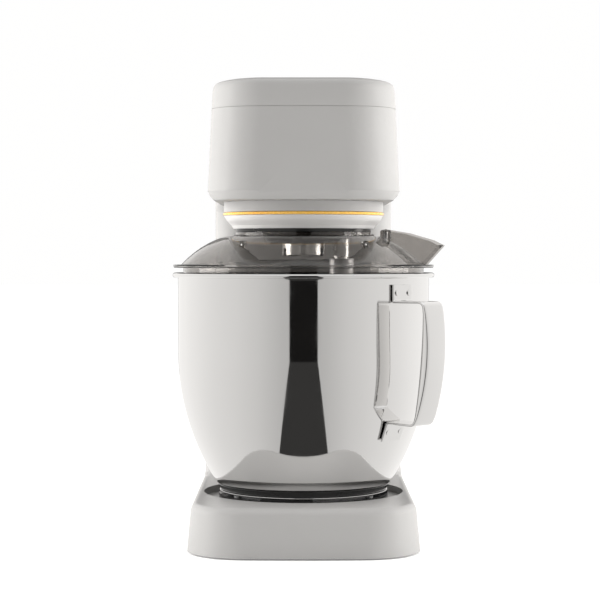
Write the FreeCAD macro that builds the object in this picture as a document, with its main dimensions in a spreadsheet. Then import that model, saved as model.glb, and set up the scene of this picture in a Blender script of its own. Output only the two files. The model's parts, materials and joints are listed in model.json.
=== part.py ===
import FreeCAD, Part
import math
import os
import re

import Sketcher
from FreeCAD import Placement, Rotation, Vector

# Tilt-head stand mixer, in millimetres. +X is the right-hand side, +Y the rear and +Z up.
# Every shape is drawn about the bowl's vertical axis and then moved by axis_x and axis_y,
# which puts the origin on the floor, under the middle of the whole mixer.

SIZES = {
    # stand
    "foot_height": 1.4,
    "base_height": 42.5,
    "base_lean": 5.1,
    "base_corner": 50.0,
    "base_bow": 900.0,
    "base_edge": 7.0,
    "side_margin": 10.7,
    "front_margin": 43.5,
    "rear_margin": 2.0,
    "seat_margin": 11.5,
    "seat_depth": 6.0,
    "wall": 3.0,
    "column_half_width": 86.0,
    "column_foot_half_width": 95.6,
    "column_corner": 32.0,
    "column_flare": 24.0,
    "column_gap": 3.5,
    "cover_half_width": 52.0,
    "cover_height": 130.0,
    # hinge
    "barrel_radius": 38.0,
    "barrel_gap": 1.0,
    "neck_lip": 4.0,
    "hinge_rise": 23.0,
    "column_rear_drop": 22.5,
    "head_tilt": 45.0,
    "pin_radius": 6.0,
    "running_gap": 0.05,
    "ear_inner": 46.3,
    "ear_thickness": 7.4,
    "ear_radius": 27.0,
    "ear_half_stem": 6.0,
    "lock_orbit": 19.0,
    "lock_rod_radius": 3.5,
    "lug_thickness": 7.0,
    # bowl
    "bowl_radius": 112.6,
    "bowl_foot_radius": 78.0,
    "bowl_belly": 116.8,
    "bowl_straight": 71.4,
    "bowl_lift": 14.3,
    "bowl_wall": 0.8,
    "lip_overhang": 4.9,
    "bayonet_radius": 57.5,
    "bayonet_lug": 4.0,
    "bayonet_angle": 36.0,
    "handle_azimuth": 48.0,
    "handle_width": 26.0,
    "handle_reach": 30.0,
    "handle_strap": 2.2,
    "handle_outer_bend": 189.0,
    "handle_inner_bend": 700.0,
    "handle_top_drop": 25.8,
    "handle_bottom_drop": 129.0,
    # head
    "hub_gap": 39.0,
    "hub_height": 24.0,
    "head_height": 105.5,
    "cover_depth": 26.8,
    "head_front": 105.0,
    "head_half_width": 82.9,
    "head_rear_spread": 2.4,
    "head_lean": 2.6,
    "head_corner": 46.0,
    "head_edge": 7.0,
    "chin_height": 7.5,
    "chin_inset": 5.0,
    "hub_radius": 71.6,
    "hub_lip_radius": 63.0,
    "trim_rise": 12.0,
    "trim_height": 2.5,
    "seam_gap": 0.4,
    # gears and drive
    "gear_module": 2.0,
    "ring_teeth": 48,
    "pinion_teeth": 14,
    "gear_width": 9.5,
    "gear_backlash": 0.35,
    "ring_rim": 10.0,
    "shaft_radius": 6.0,
    "carrier_radius": 57.0,
    "carrier_dome_radius": 37.5,
    "carrier_dome_drop": 15.4,
    "collar_radius": 19.0,
    "pulley_radius": 41.5,
    "motor_pulley_radius": 11.0,
    "belt_thickness": 2.0,
    "belt_width": 9.0,
    "motor_radius": 32.0,
    "motor_height": 42.0,
    "motor_shaft_radius": 4.0,
    "motor_screw_circle": 22.0,
    "rotor_radius": 18.0,
    "bearing_height": 8.0,
    "frame_rise": 24.0,
    "frame_thickness": 6.0,
    # beater
    "beater_gap": 23.0,
    "beater_thickness": 9.0,
    "beater_floor_gap": 11.0,
    # guard
    "guard_gap": 5.2,
    "guard_wall": 1.8,
    "guard_skirt_inset": 4.6,
    "guard_skirt_drop": 12.2,
    "guard_overhang": 4.2,
    "guard_top_gap": 6.7,
    "guard_top_radius": 71.2,
    "guard_dome_bend": 90.0,
    "chute_half_width": 34.0,
    "chute_overhang": 7.8,
    # controls
    "dial_radius": 20.0,
    "dial_depth": 12.6,
    "button_radius": 9.0,
    "button_travel": 3.0,
}

DERIVED = {
    # heights above the floor
    "seat_z": "base_height - seat_depth",
    "bowl_z": "seat_z + bowl_lift",
    "belly_z": "bowl_z + bowl_belly",
    "rim_z": "belly_z + bowl_straight",
    "hub_z": "rim_z + hub_gap",
    "head_z": "hub_z + hub_height",
    "top_z": "head_z + head_height",
    "seam_z": "top_z - cover_depth",
    "hinge_z": "rim_z + hinge_rise",
    "frame_z": "head_z + frame_rise",
    "guard_z": "rim_z + guard_gap",
    "guard_top_z": "hub_z - guard_top_gap",
    "beater_z": "bowl_z + beater_floor_gap",
    # distances from the bowl's axis
    "lip_radius": "bowl_radius + lip_overhang",
    "bowl_swell": "bowl_radius - bowl_foot_radius",
    "belly_radius": "(bowl_swell^2 + bowl_belly^2) / (2 * bowl_swell)",
    "seat_radius": "bowl_foot_radius + seat_margin",
    "base_half_width": "seat_radius + side_margin",
    "base_front": "seat_radius + front_margin",
    "column_front": "lip_radius + column_gap",
    "hinge_y": "column_front + neck_lip + barrel_radius",
    "neck_rear": "hinge_y + barrel_radius",
    "column_rear": "neck_rear - 1",
    "base_rear": "neck_rear + rear_margin",
    "motor_y": "neck_rear - wall - motor_radius - 6",
    "skirt_radius": "bowl_radius - guard_skirt_inset",
    "flange_radius": "bowl_radius + guard_overhang",
    "chute_reach": "flange_radius + chute_overhang",
    "tool_offset": "gear_module * (ring_teeth - pinion_teeth) / 2",
    "ring_radius": "gear_module * (ring_teeth + 2.5) / 2 + ring_rim",
    "hub_bore": "ring_radius + 1.5",
    "bush_radius": "shaft_radius + 3",
    "boss_radius": "bush_radius + 2.5",
    "bearing_race": "shaft_radius + 7",
    "bearing_radius": "shaft_radius + 10",
    "tower_radius": "bearing_radius + 6",
    "saddle_radius": "barrel_radius + barrel_gap",
    "column_rear_z": "hinge_z - column_rear_drop",
    "beater_half_width": "bowl_radius - tool_offset - beater_gap",
    "bayonet_reach": "bayonet_radius + bayonet_lug",
    # where the bowl's axis stands from the middle of the mixer
    "axis_x": "(lip_radius - chute_reach) / 2",
    "axis_y": "(base_front - base_rear) / 2",
}

doc = FreeCAD.newDocument("stand_mixer")
sheet = doc.addObject("Spreadsheet::Sheet", "Sizes")
nodes = []


def fill_sheet():
    for row, (name, amount) in enumerate(SIZES.items(), start=1):
        sheet.set("A%d" % row, name)
        sheet.set("B%d" % row, str(amount))
        sheet.setAlias("B%d" % row, name)
    doc.recompute()


def bare(text):
    """The expression with every derived size written out in sheet sizes."""
    def swap(match):
        word = match.group(0)
        return "(" + bare(DERIVED[word]) + ")" if word in DERIVED else word
    return re.sub(r"[a-z_]+", swap, str(text))


def bound(text):
    """The same expression as other objects see it."""
    def swap(match):
        word = match.group(0)
        return "Sizes." + word if word in SIZES else word
    return re.sub(r"[a-z_]+", swap, bare(text))


def number(text):
    found = sheet.evalExpression(bare(text))
    return float(getattr(found, "Value", found))


def bind(thing, **expressions):
    for name, text in expressions.items():
        thing.setExpression(name, bound(text))


def put(thing, x="0", y="0", z="0"):
    """Hold an object's position at three expressions."""
    for name, text in (("x", x), ("y", y), ("z", z)):
        thing.setExpression("Placement.Base." + name, bound(text))
    return thing


def node(thing, label, x="0", y="0", z="0"):
    """Name a finished sub-part and set it in the mixer's frame."""
    thing.Label = label
    put(thing, "axis_x + %s" % x, "axis_y + %s" % y, z)
    nodes.append(thing)
    return thing


# ---------------------------------------------------------------- sketches

def arc_between(start, end, radius, side):
    """The short arc of a radius from start to end, its centre on the left or right of the way."""
    chord = end - start
    middle = (start + end) / 2
    across = Vector(-chord.y, chord.x, 0).normalize() * (1 if side == "left" else -1)
    rise = math.sqrt(max(radius ** 2 - (chord.Length / 2) ** 2, 0.0))
    centre = middle + across * rise
    top = centre - across * radius
    return Part.Arc(start, top, end)


def draw(sketch, loops):
    """Closed loops of corners (x, y) or (x, y, radius, side), where the way there is an arc."""
    for loop in loops:
        first = sketch.GeometryCount
        corners = [Vector(number(corner[0]), number(corner[1]), 0) for corner in loop]
        count = len(loop)
        for index in range(count):
            after = (index + 1) % count
            target = loop[after]
            if len(target) == 4:
                shape = arc_between(corners[index], corners[after], number(target[2]), target[3])
            else:
                shape = Part.LineSegment(corners[index], corners[after])
            sketch.addGeometry(shape, False)
        ends = [ends_of(sketch, first + index, corners[index]) for index in range(count)]
        for index in range(count):
            after = (index + 1) % count
            sketch.addConstraint(Sketcher.Constraint(
                "Coincident", first + index, ends[index][1], first + after, ends[after][0]))
            hold_corner(sketch, first + index, ends[index][0], loop[index], corners[index])
            if len(loop[after]) == 4:
                radius = number(loop[after][2])
                place = sketch.addConstraint(Sketcher.Constraint("Radius", first + index, radius))
                sketch.setExpression("Constraints[%d]" % place, bound(loop[after][2]))


def ends_of(sketch, index, corner):
    """Which of a curve's two end numbers is at the corner, and which is the other."""
    at_start = (sketch.getPoint(index, 1) - corner).Length < (sketch.getPoint(index, 2) - corner).Length
    return (1, 2) if at_start else (2, 1)


def hold_corner(sketch, index, end, corner, place):
    for axis, (kind, amount) in enumerate((("DistanceX", place.x), ("DistanceY", place.y))):
        constraint = sketch.addConstraint(Sketcher.Constraint(kind, -1, 1, index, end, amount))
        sketch.setExpression("Constraints[%d]" % constraint, bound(corner[axis]))


def body_sketch(name, plane, loops, offset=None):
    """A new body with one sketch on one of its own origin planes."""
    body = doc.addObject("PartDesign::Body", name)
    flats = {flat.Role: flat for flat in body.Origin.OriginFeatures}
    sketch = body.newObject("Sketcher::SketchObject", name + "_sketch")
    sketch.AttachmentSupport = [(flats[plane], "")]
    sketch.MapMode = "FlatFace"
    if offset is not None:
        sketch.setExpression("AttachmentOffset.Base.z", bound(offset))
    draw(sketch, loops)
    return body, sketch


def mirrored(half):
    """A closed loop from its right half, listed from the middle's bottom to the middle's top."""
    left = []
    for index in range(len(half) - 1, -1, -1):
        corner = half[index]
        point = ("-(%s)" % corner[0], corner[1])
        arc = half[index + 1][2:] if index + 1 < len(half) and len(half[index + 1]) == 4 else ()
        left.append(point + arc)
    return half + left


def rounded_box(half_width, front, rear, corner):
    """A rectangle with round corners, from front to rear, as a loop."""
    straight = "(%s) - (%s)" % (half_width, corner)
    return mirrored([
        (straight, front),
        (half_width, "(%s) + (%s)" % (front, corner), corner, "left"),
        (half_width, "(%s) - (%s)" % (rear, corner)),
        (straight, rear, corner, "left"),
    ])


# ---------------------------------------------------------------- solids

def turned(name, loop, axis="V_Axis"):
    """A body turned about the sketch's upright or level axis."""
    body, sketch = body_sketch(name, "XZ_Plane", [loop])
    turn = body.newObject("PartDesign::Revolution", name + "_turn")
    turn.Profile = sketch
    turn.ReferenceAxis = (sketch, [axis])
    turn.Angle = 360
    return body


def padded(name, plane, loops, length, offset=None, middle=False, lean=None):
    """A body padded from a sketch, upwards or to both sides."""
    body, sketch = body_sketch(name, plane, loops, offset)
    pad = body.newObject("PartDesign::Pad", name + "_pad")
    pad.Profile = sketch
    bind(pad, Length=length)
    pad.Midplane = middle
    if lean is not None:
        bind(pad, TaperAngle=lean)
    return body


def cylinder(name, radius, height, x="0", y="0", z="0", axis="z"):
    thing = doc.addObject("Part::Cylinder", name)
    bind(thing, Radius=radius, Height=height)
    if axis == "x":
        thing.Placement = Placement(Vector(), Rotation(Vector(0, 1, 0), 90))
    return put(thing, x, y, z)


def box(name, low, size):
    thing = doc.addObject("Part::Box", name)
    bind(thing, Length=size[0], Width=size[1], Height=size[2])
    return put(thing, *low)


def centred_box(name, half_width, y, z, size_y, size_z):
    return box(name, ("-(%s)" % half_width, y, z), ("2 * (%s)" % half_width, size_y, size_z))


def fused(name, things):
    thing = doc.addObject("Part::MultiFuse", name)
    thing.Shapes = things
    return thing


def common(name, things):
    thing = doc.addObject("Part::MultiCommon", name)
    thing.Shapes = things
    return thing


def cut(name, base, tools):
    thing = doc.addObject("Part::Cut", name)
    thing.Base = base
    thing.Tool = tools[0] if len(tools) == 1 else fused(name + "_tools", tools)
    return thing


def group(name, things):
    thing = doc.addObject("Part::Compound", name)
    thing.Links = things
    return thing


def loft(name, levels):
    """A solid through round-cornered sections (z, half width, front, rear, corner)."""
    sketches = []
    for index, (z, half_width, front, rear, corner) in enumerate(levels):
        sketch = doc.addObject("Sketcher::SketchObject", "%s_level_%d" % (name, index))
        put(sketch, z=z)
        draw(sketch, [rounded_box(half_width, front, rear, corner)])
        sketches.append(sketch)
    thing = doc.addObject("Part::Loft", name)
    thing.Sections = sketches
    thing.Solid = True
    thing.Ruled = True
    return thing


def ring(name, inner, outer, low, high):
    """A plain ring about the bowl's axis."""
    return turned(name, [(inner, low), (outer, low), (outer, high), (inner, high)])


def rounded(thing, name, radius, wanted):
    """Round the edges of a solid that the test picks."""
    doc.recompute()
    fillet = doc.addObject("Part::Fillet", name)
    fillet.Base = thing
    size = number(radius)
    picked = [index for index, edge in enumerate(thing.Shape.Edges, start=1) if wanted(edge)]
    fillet.Edges = [(index, size, size) for index in picked]
    return fillet


def screws(name, places, head_radius, head_height, shank_radius, shank_length, head_down=False):
    """Screws at (x, y, z of the seat under the head), heads up or down, as separate solids."""
    made = []
    for index, (x, y, z) in enumerate(places):
        stem = "%s_%d" % (name, index)
        if head_down:
            head = cylinder(stem + "_head", head_radius, head_height, x, y, "%s - %s" % (z, head_height))
            shank = cylinder(stem + "_shank", shank_radius, shank_length, x, y, z)
        else:
            head = cylinder(stem + "_head", head_radius, head_height, x, y, z)
            shank = cylinder(stem + "_shank", shank_radius, shank_length, x, y, "%s - %s" % (z, shank_length))
        made.append(fused(stem, [head, shank]))
    return group(name, made)


def holes(name, places, radius, height):
    """Upright cylinders at (x, y, z) to cut screw holes with."""
    return [cylinder("%s_hole_%d" % (name, index), radius, height, x, y, z)
            for index, (x, y, z) in enumerate(places)]


# ---------------------------------------------------------------- stand

def base_outline(inset):
    """The base's plan: a bowed front, round corners and a straight rear."""
    half_width = "(base_half_width - %s)" % inset
    corner = "(base_corner - %s)" % inset
    bow = "(base_bow - %s)" % inset
    bow_y = "(base_bow - base_front)"
    down = "sqrt((%s - %s)^2 - (%s - %s)^2)" % (bow, corner, half_width, corner)
    share = "%s / (%s - %s)" % (bow, bow, corner)
    rear = "(base_rear - %s)" % inset
    rear_corner = "(column_corner - %s)" % inset
    loop = mirrored([
        ("(%s - %s) * %s" % (half_width, corner, share), "%s - %s * %s" % (bow_y, down, share)),
        (half_width, "%s - %s" % (bow_y, down), corner, "left"),
        (half_width, "%s - %s" % (rear, rear_corner)),
        ("%s - %s" % (half_width, rear_corner), rear, rear_corner, "left"),
    ])
    loop[0] = loop[0] + (bow, "left")
    return loop


def column_levels(inset, top):
    """Sections of the column, flared where it rises from the base."""
    levels = []
    foot = "column_foot_half_width - %s" % inset
    front = "column_front + %s" % inset
    rear = "column_rear - %s" % inset
    corner = "column_corner - %s" % inset
    levels.append(("base_height - 10 - %s" % inset, foot, front + " - column_flare", rear, corner))
    for share in (0.0, 0.08, 0.22, 0.45, 1.0):
        reach = "column_flare * (1 - sqrt(1 - (1 - %s)^2))" % share
        levels.append(("base_height + %s * column_flare - %s" % (share, inset if share == 0.0 else 0),
                       foot, "%s - %s" % (front, reach), rear, corner))
    levels.append((top, "column_half_width - %s" % inset, front, rear, corner))
    return levels


def dial_height():
    return "hinge_z - 77"


def base_housing():
    slab = padded("base_slab", "XY_Plane", [base_outline("0")],
                  "base_height - foot_height", offset="foot_height", lean="-base_lean")
    doc.recompute()
    top = number("base_height")
    round_top = rounded(slab, "base_slab_round", "base_edge",
                        lambda edge: all(abs(v.Z - top) < 0.01 for v in edge.Vertexes))
    column = loft("column_block", column_levels("0", "hinge_z"))
    boss = cylinder("dial_boss", "dial_radius + 2.5", "16", "column_half_width - 11", "motor_y",
                    dial_height(), axis="x")
    outside = fused("housing_outside", [round_top, column, boss])

    hollow = padded("base_hollow", "XY_Plane", [base_outline("(wall + 3)")],
                    "base_height - foot_height - wall", offset="foot_height")
    under_edge = padded("base_hollow_mouth", "XY_Plane", [base_outline("wall")], "4", offset="foot_height")
    column_hollow = loft("column_hollow", column_levels("wall", "hinge_z - wall"))
    seat_keep = cylinder("seat_keep", "seat_radius + wall", "base_height", z="seat_z - wall")
    saddle_keep = cylinder("saddle_keep", "saddle_radius + wall", "240", "-120", "hinge_y", "hinge_z",
                           axis="x")
    rear_keep = centred_box("rear_keep", "120", "hinge_y", "column_rear_z - wall", "60", "60")
    room = cut("housing_room", fused("housing_room_all", [hollow, under_edge, column_hollow]),
               [seat_keep, saddle_keep, rear_keep])

    recess = cylinder("seat_recess", "seat_radius", "base_height", z="seat_z")
    saddle = cylinder("saddle", "saddle_radius", "240", "-120", "hinge_y", "hinge_z", axis="x")
    rear_step = centred_box("rear_step", "120", "hinge_y", "column_rear_z", "60", "60")
    slots = [box("ear_slot_%s" % side, (x, "hinge_y - ear_half_stem - 1", "hinge_z - saddle_radius - 20"),
                 ("ear_thickness + 1", "2 * ear_half_stem + 2", "40"))
             for side, x in (("left", "-ear_inner - ear_thickness - 0.5"), ("right", "ear_inner - 0.5"))]
    door = centred_box("rear_door", "cover_half_width", "column_rear - 2 * wall", "base_height + 18",
                       "4 * wall", "cover_height")
    dial_hole = cylinder("dial_hole", "4", "60", "column_half_width - 40", "motor_y", dial_height(), axis="x")
    dial_face = box("dial_face", ("column_half_width + 4", "motor_y - 40", dial_height() + " - 40"),
                    ("30", "80", "80"))
    gland_hole = rearward_cylinder("gland_hole", "6.5", "30", "base_rear - 20")
    gland_seat = rearward_cylinder("gland_seat", "10", "30", "base_rear - 2.6")
    seat_holes = holes("seat", seat_screw_places("seat_z - 2 * wall"), "2.05", "4 * wall")
    made = cut("housing", outside, [room, recess, saddle, rear_step, door, dial_hole, dial_face,
                                    gland_hole, gland_seat] + slots + seat_holes)
    posts = [cylinder("foot_post_%d" % index, "6", "base_height - wall - foot_height - 3", x, y,
                      "foot_height + 3.8") for index, (x, y) in enumerate(plate_screw_spots())]
    plugs = holes("plate", [(x, y, "foot_height") for x, y in plate_screw_spots()], "1.6", "14")
    solid = cut("housing_with_posts", fused("housing_posts", [made] + posts), plugs)
    node(solid, "base_housing")


def plate_screw_spots():
    return [(x, y) for x in ("-66", "66") for y in ("-base_front + 60", "base_rear - 10")]


def seat_screw_places(z):
    circle = "(bayonet_reach + 5.5)"
    return [("%s * cos(%d)" % (circle, turn), "%s * sin(%d)" % (circle, turn), z) for turn in (90, 210, 330)]


def bottom_plate():
    plate = padded("plate", "XY_Plane", [base_outline("(wall + 0.4)")], "2", offset="foot_height + 1.5")
    spots = plate_screw_spots()
    screw_holes = holes("plate_screw", [(x, y, "foot_height") for x, y in spots], "2.05", "6")
    pegs = holes("foot_peg", [(x, y, "foot_height") for x, y in foot_spots()], "4.1", "6")
    board_posts = [cylinder("board_post_%d" % index, "3", "6", x, y, "foot_height + 3.5")
                   for index, (x, y) in enumerate((a, b) for a in ("-35", "35") for b in ("-25", "25"))]
    node(fused("plate_and_posts", [cut("plate_drilled", plate, screw_holes + pegs)] + board_posts),
         "bottom_plate")


def foot_spots():
    return [(x, y) for x in ("-82", "82") for y in ("-68", "base_rear - 34")]


def rubber_feet():
    made = []
    for index, (x, y) in enumerate(foot_spots()):
        pad = cylinder("foot_pad_%d" % index, "9", "foot_height + 1.4", x, y)
        peg = cylinder("foot_stem_%d" % index, "4", "3.4", x, y, "foot_height + 1.4")
        made.append(fused("foot_%d" % index, [pad, peg]))
    node(group("feet", made), "rubber_feet")
    node(screws("base_screws", [(x, y, "foot_height + 1.5") for x, y in plate_screw_spots()],
                "3.6", "1.4", "1.5", "11", head_down=True), "bottom_screws")


def bowl_seat():
    low = "seat_z"
    ledge = "seat_z + 4.5"
    plate = ring("seat_ring", "bayonet_reach + 0.6", "bowl_foot_radius - 2", low, ledge)
    hooks = []
    for index in range(3):
        hook = turned("seat_hook_%d" % index, [
            ("bayonet_radius + 0.5", ledge), ("bowl_foot_radius - 2", ledge),
            ("bowl_foot_radius - 2", "seat_z + 6.6"), ("bayonet_radius + 0.5", "seat_z + 6.6")])
        hook.Tip.setExpression("Angle", bound("bayonet_angle"))
        hook.Placement = Placement(Vector(), Rotation(Vector(0, 0, 1), 120 * index))
        hooks.append(hook)
    body = fused("seat_body", [plate] + hooks)
    drilled = cut("seat_drilled", body, holes("seat_plate", seat_screw_places("seat_z - 1"), "2.05", "12"))
    node(drilled, "bowl_seat")
    node(screws("seat_fixings", seat_screw_places(ledge), "3.4", "1.2", "2", "9"), "seat_screws")


def rear_cover():
    lid = centred_box("lid", "cover_half_width - 0.4", "column_rear - wall", "base_height + 18.4",
                      "wall", "cover_height - 0.8")
    stiffener = centred_box("lid_rib", "cover_half_width - 6", "column_rear - wall - 3", "base_height + 26",
                            "3", "cover_height - 16")
    vents = [centred_box("lid_vent_%d" % index, "30", "column_rear - 20",
                         "base_height + 50 + %d" % (9 * index), "40", "3.2") for index in range(8)]
    node(cut("lid_vented", fused("lid_ribbed", [lid, stiffener]), vents), "rear_cover")


def control_board():
    z = "foot_height + 9.7"
    board = box("board", ("-42", "-32", z), ("84", "64", "1.6"))
    cans = (("6", "-28", "-18"), ("6", "-12", "-18"), ("4", "4", "-18"))
    parts = [cylinder("board_can_%d" % index, radius, "12", x, y, z + " + 1.6")
             for index, (radius, x, y) in enumerate(cans)]
    parts.append(box("board_coil", ("14", "-8", z + " + 1.6"), ("22", "26", "14")))
    parts.append(box("board_relay", ("-34", "4", z + " + 1.6"), ("18", "14", "11")))
    node(fused("board_filled", [board] + parts), "control_board")


def rearward_cylinder(name, radius, height, y):
    """A cylinder along +Y on the cord inlet's axis."""
    thing = doc.addObject("Part::Cylinder", name)
    bind(thing, Radius=radius, Height=height)
    thing.Placement = Placement(Vector(), Rotation(Vector(1, 0, 0), -90))
    return put(thing, "-40", y, "24")


def power_inlet():
    flange = rearward_cylinder("gland_flange", "9", "1.6", "base_rear - 2.5")
    neck = rearward_cylinder("gland_neck", "6.2", "12", "base_rear - 14")
    bore = rearward_cylinder("gland_bore", "3.6", "40", "base_rear - 20")
    node(cut("gland", fused("gland_solid", [flange, neck]), [bore]), "cord_gland")


def hinge_bracket():
    low = "hinge_z - saddle_radius - wall - 6"
    plate = centred_box("bracket_plate", "ear_inner + ear_thickness + 6", "hinge_y - 24", low, "48", "5.6")
    ears = []
    for side, x in (("left", "-ear_inner - ear_thickness"), ("right", "ear_inner")):
        stem = box("ear_stem_" + side, (x, "hinge_y - ear_half_stem", low),
                   ("ear_thickness", "2 * ear_half_stem", "saddle_radius + wall + 6"))
        disc = cylinder("ear_disc_" + side, "ear_radius", "ear_thickness", x, "hinge_y", "hinge_z", axis="x")
        ears.append(fused("ear_" + side, [stem, disc]))
    pin_bore = cylinder("bracket_bore", "pin_radius", "160", "-80", "hinge_y", "hinge_z", axis="x")
    lock_ends = []
    for step in range(13):
        angle = "(-90 - (head_tilt + 1) * %d / 12)" % step
        lock_ends.append(cylinder("lock_slot_%d" % step, "lock_rod_radius + 0.5", "60", "-80",
                                  "hinge_y + lock_orbit * cos(%s)" % angle,
                                  "hinge_z + lock_orbit * sin(%s)" % angle, axis="x"))
    node(cut("bracket", fused("bracket_solid", [plate] + ears), [pin_bore] + lock_ends), "hinge_bracket")


def hinge_pin():
    half = "ear_inner + ear_thickness + 3"
    pin = cylinder("pin", "pin_radius", "2 * (%s)" % half, "-(%s)" % half, "hinge_y", "hinge_z", axis="x")
    node(pin, "hinge_pin", "-(%s)" % half, "hinge_y", "hinge_z")
    clips = []
    outside = "ear_inner + ear_thickness"
    for side, x in (("left", "-(%s) - 1.4" % outside), ("right", outside + " + 0.2")):
        outer = cylinder("clip_" + side, "pin_radius + 3", "1.2", x, "hinge_y", "hinge_z", axis="x")
        inner = cylinder("clip_bore_" + side, "pin_radius", "5", x + " - 2", "hinge_y", "hinge_z", axis="x")
        clips.append(cut("circlip_" + side, outer, [inner]))
    node(group("clips", clips), "pin_circlips")


def speed_dial():
    knob = turned("knob", [
        ("column_half_width + 4.6", "0"), ("column_half_width + 4.6 + dial_depth", "0"),
        ("column_half_width + 4.6 + dial_depth", "dial_radius - 4"),
        ("column_half_width + 2.6 + dial_depth", "dial_radius - 2"),
        ("column_half_width + 6.6", "dial_radius"), ("column_half_width + 4.6", "dial_radius")], axis="H_Axis")
    stem = cylinder("knob_stem", "3", "24", "column_half_width - 18", "0", "0", axis="x")
    pointer = box("knob_mark", ("column_half_width + dial_depth", "-1.2", "4"),
                  ("5.4", "2.4", "dial_radius - 9"))
    node(fused("knob_whole", [knob, stem, pointer]), "speed_dial", y="motor_y", z=dial_height())
    body = box("encoder_body", ("column_half_width - 32", "-12", "-12"), ("20", "24", "24"))
    bore = cylinder("encoder_bore", "3.1", "60", "column_half_width - 18.4", "0", "0", axis="x")
    node(cut("encoder", body, [bore]), "dial_encoder", y="motor_y", z=dial_height())


# ---------------------------------------------------------------- bowl

def bowl_shell():
    """A straight wall over one belly arc, with a flat floor and a rolled lip."""
    wall = "bowl_wall"
    loop = [
        ("0", "bowl_z"),
        ("bowl_foot_radius", "bowl_z"),
        ("bowl_radius", "belly_z", "belly_radius", "left"),
        ("bowl_radius", "rim_z - 4"),
        ("bowl_radius + 1.6", "rim_z - 2.2"),
        ("lip_radius - 1.2", "rim_z - 3"),
        ("lip_radius", "rim_z - 1.8"),
        ("lip_radius - 1.4", "rim_z - 0.4"),
        ("bowl_radius + 1", "rim_z"),
        ("bowl_radius - %s" % wall, "rim_z - 2"),
        ("bowl_radius - %s" % wall, "belly_z"),
        ("bowl_foot_radius - %s - 0.5" % wall, "bowl_z + %s" % wall, "belly_radius - %s" % wall, "right"),
        ("0", "bowl_z + %s" % wall),
    ]
    node(turned("shell", loop), "bowl_shell")


def bowl_foot():
    node(turned("foot_ring", [
        ("bayonet_radius + 0.2", "bowl_z - 6"), ("bowl_foot_radius - 3.6", "bowl_z - 6"),
        ("bowl_foot_radius - 0.4", "bowl_z - 0.1"), ("bayonet_radius + 0.2", "bowl_z - 0.1")]),
        "bowl_foot_ring")
    node(ring("foot_band", "bayonet_radius + 0.2", "bowl_foot_radius - 2.4", "bowl_z - 7", "bowl_z - 6.05"),
         "bowl_foot_band")
    cup = ring("cup", "20", "bayonet_radius", "seat_z + 0.8", "bowl_z - 0.1")
    lugs = []
    for index in range(3):
        lug = turned("cup_lug_%d" % index, [
            ("bayonet_radius - 1", "seat_z + 1.5"), ("bayonet_reach", "seat_z + 1.5"),
            ("bayonet_reach", "seat_z + 4.1"), ("bayonet_radius - 1", "seat_z + 4.1")])
        lug.Tip.setExpression("Angle", bound("bayonet_angle - 2"))
        lug.Placement = Placement(Vector(), Rotation(Vector(0, 0, 1), 120 * index + 1))
        lugs.append(lug)
    node(fused("cup_and_lugs", [cup] + lugs), "bayonet_cup")


def wall_radius(z):
    """Radius of the bowl's belly at a height."""
    return "(bowl_radius - belly_radius + sqrt(belly_radius^2 - (belly_z - (%s))^2))" % z


def handle_turn():
    return Rotation(Vector(0, 0, 1), number("handle_azimuth") - 90)


def bowl_handle():
    """A bent strap: an upper tab and arm, a bowed grip, and a lower arm and tab."""
    t = "handle_strap"
    top = "(rim_z - handle_top_drop)"
    low = "(rim_z - handle_bottom_drop)"
    face = "(bowl_radius + 0.4)"
    tab_z = "(%s - 8)" % low
    tab = "(%s + 0.5)" % wall_radius(tab_z)
    slope = "((belly_z - %s) / sqrt(belly_radius^2 - (belly_z - %s)^2))" % (tab_z, tab_z)
    reach = "(bowl_radius + handle_reach + 3.7)"
    foot = "(bowl_radius + handle_reach - 6)"
    # The tab lies along the wall's slope at tab_z, so its corners are set by their rise above that height.
    tab_high = "(%s + 10 * %s)" % (tab, slope)
    tab_outer = "(%s + 7.6 * %s)" % (tab, slope)
    tab_low = "(%s - 8 * %s)" % (tab, slope)
    loop = [
        (face, top),
        ("%s - 3" % reach, top),
        (reach, "%s - 4" % top, "3.5", "right"),
        (foot, "%s + 4" % low, "handle_inner_bend", "right"),
        ("%s - 4" % foot, "%s + 0.6" % low, "4.5", "right"),
        (tab_high, "%s + 2" % low),
        (tab_low, "%s - 16" % low),
        ("%s + %s" % (tab_low, t), "%s - 16" % low),
        ("%s + %s" % (tab_outer, t), "%s - 0.4" % low),
        ("%s - 3" % foot, "%s - %s + 0.6" % (low, t)),
        ("%s + %s" % (foot, t), "%s + 3" % low, "6.5", "left"),
        ("%s + %s" % (reach, t), "%s - 3" % top, "handle_outer_bend", "left"),
        ("%s - 3" % reach, "%s + %s" % (top, t), "6", "left"),
        ("%s + %s" % (face, t), "%s + %s" % (top, t)),
        ("%s + %s" % (face, t), "%s + 16" % top),
        (face, "%s + 16" % top),
    ]
    strap = padded("strap", "XZ_Plane", [loop], "handle_width", middle=True)
    strap.Placement = Placement(Vector(), handle_turn())
    node(strap, "bowl_handle")
    lean = math.degrees(math.atan(number(slope)))
    dots = []
    for height, u, z, tilt in (("upper", "%s + %s" % (face, t), "%s + 9" % top, 0.0),
                               ("lower", "%s + %s + 0.05" % (tab, t), tab_z, lean)):
        for side in ("-8", "8"):
            dot = cylinder("dot_%s_%s" % (height, side.replace("-", "m")), "2.6", "0.9")
            turn = handle_turn().multiply(Rotation(Vector(0, 1, 0), 90 + tilt))
            dot.Placement = Placement(Vector(), turn)
            azimuth = "(handle_azimuth - 90)"
            put(dot, "(%s) * cos(%s) - (%s) * sin(%s)" % (u, azimuth, side, azimuth),
                "(%s) * sin(%s) + (%s) * cos(%s)" % (u, azimuth, side, azimuth), z)
            dots.append(dot)
    node(group("dots", dots), "handle_rivets")


# ---------------------------------------------------------------- head

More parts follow.
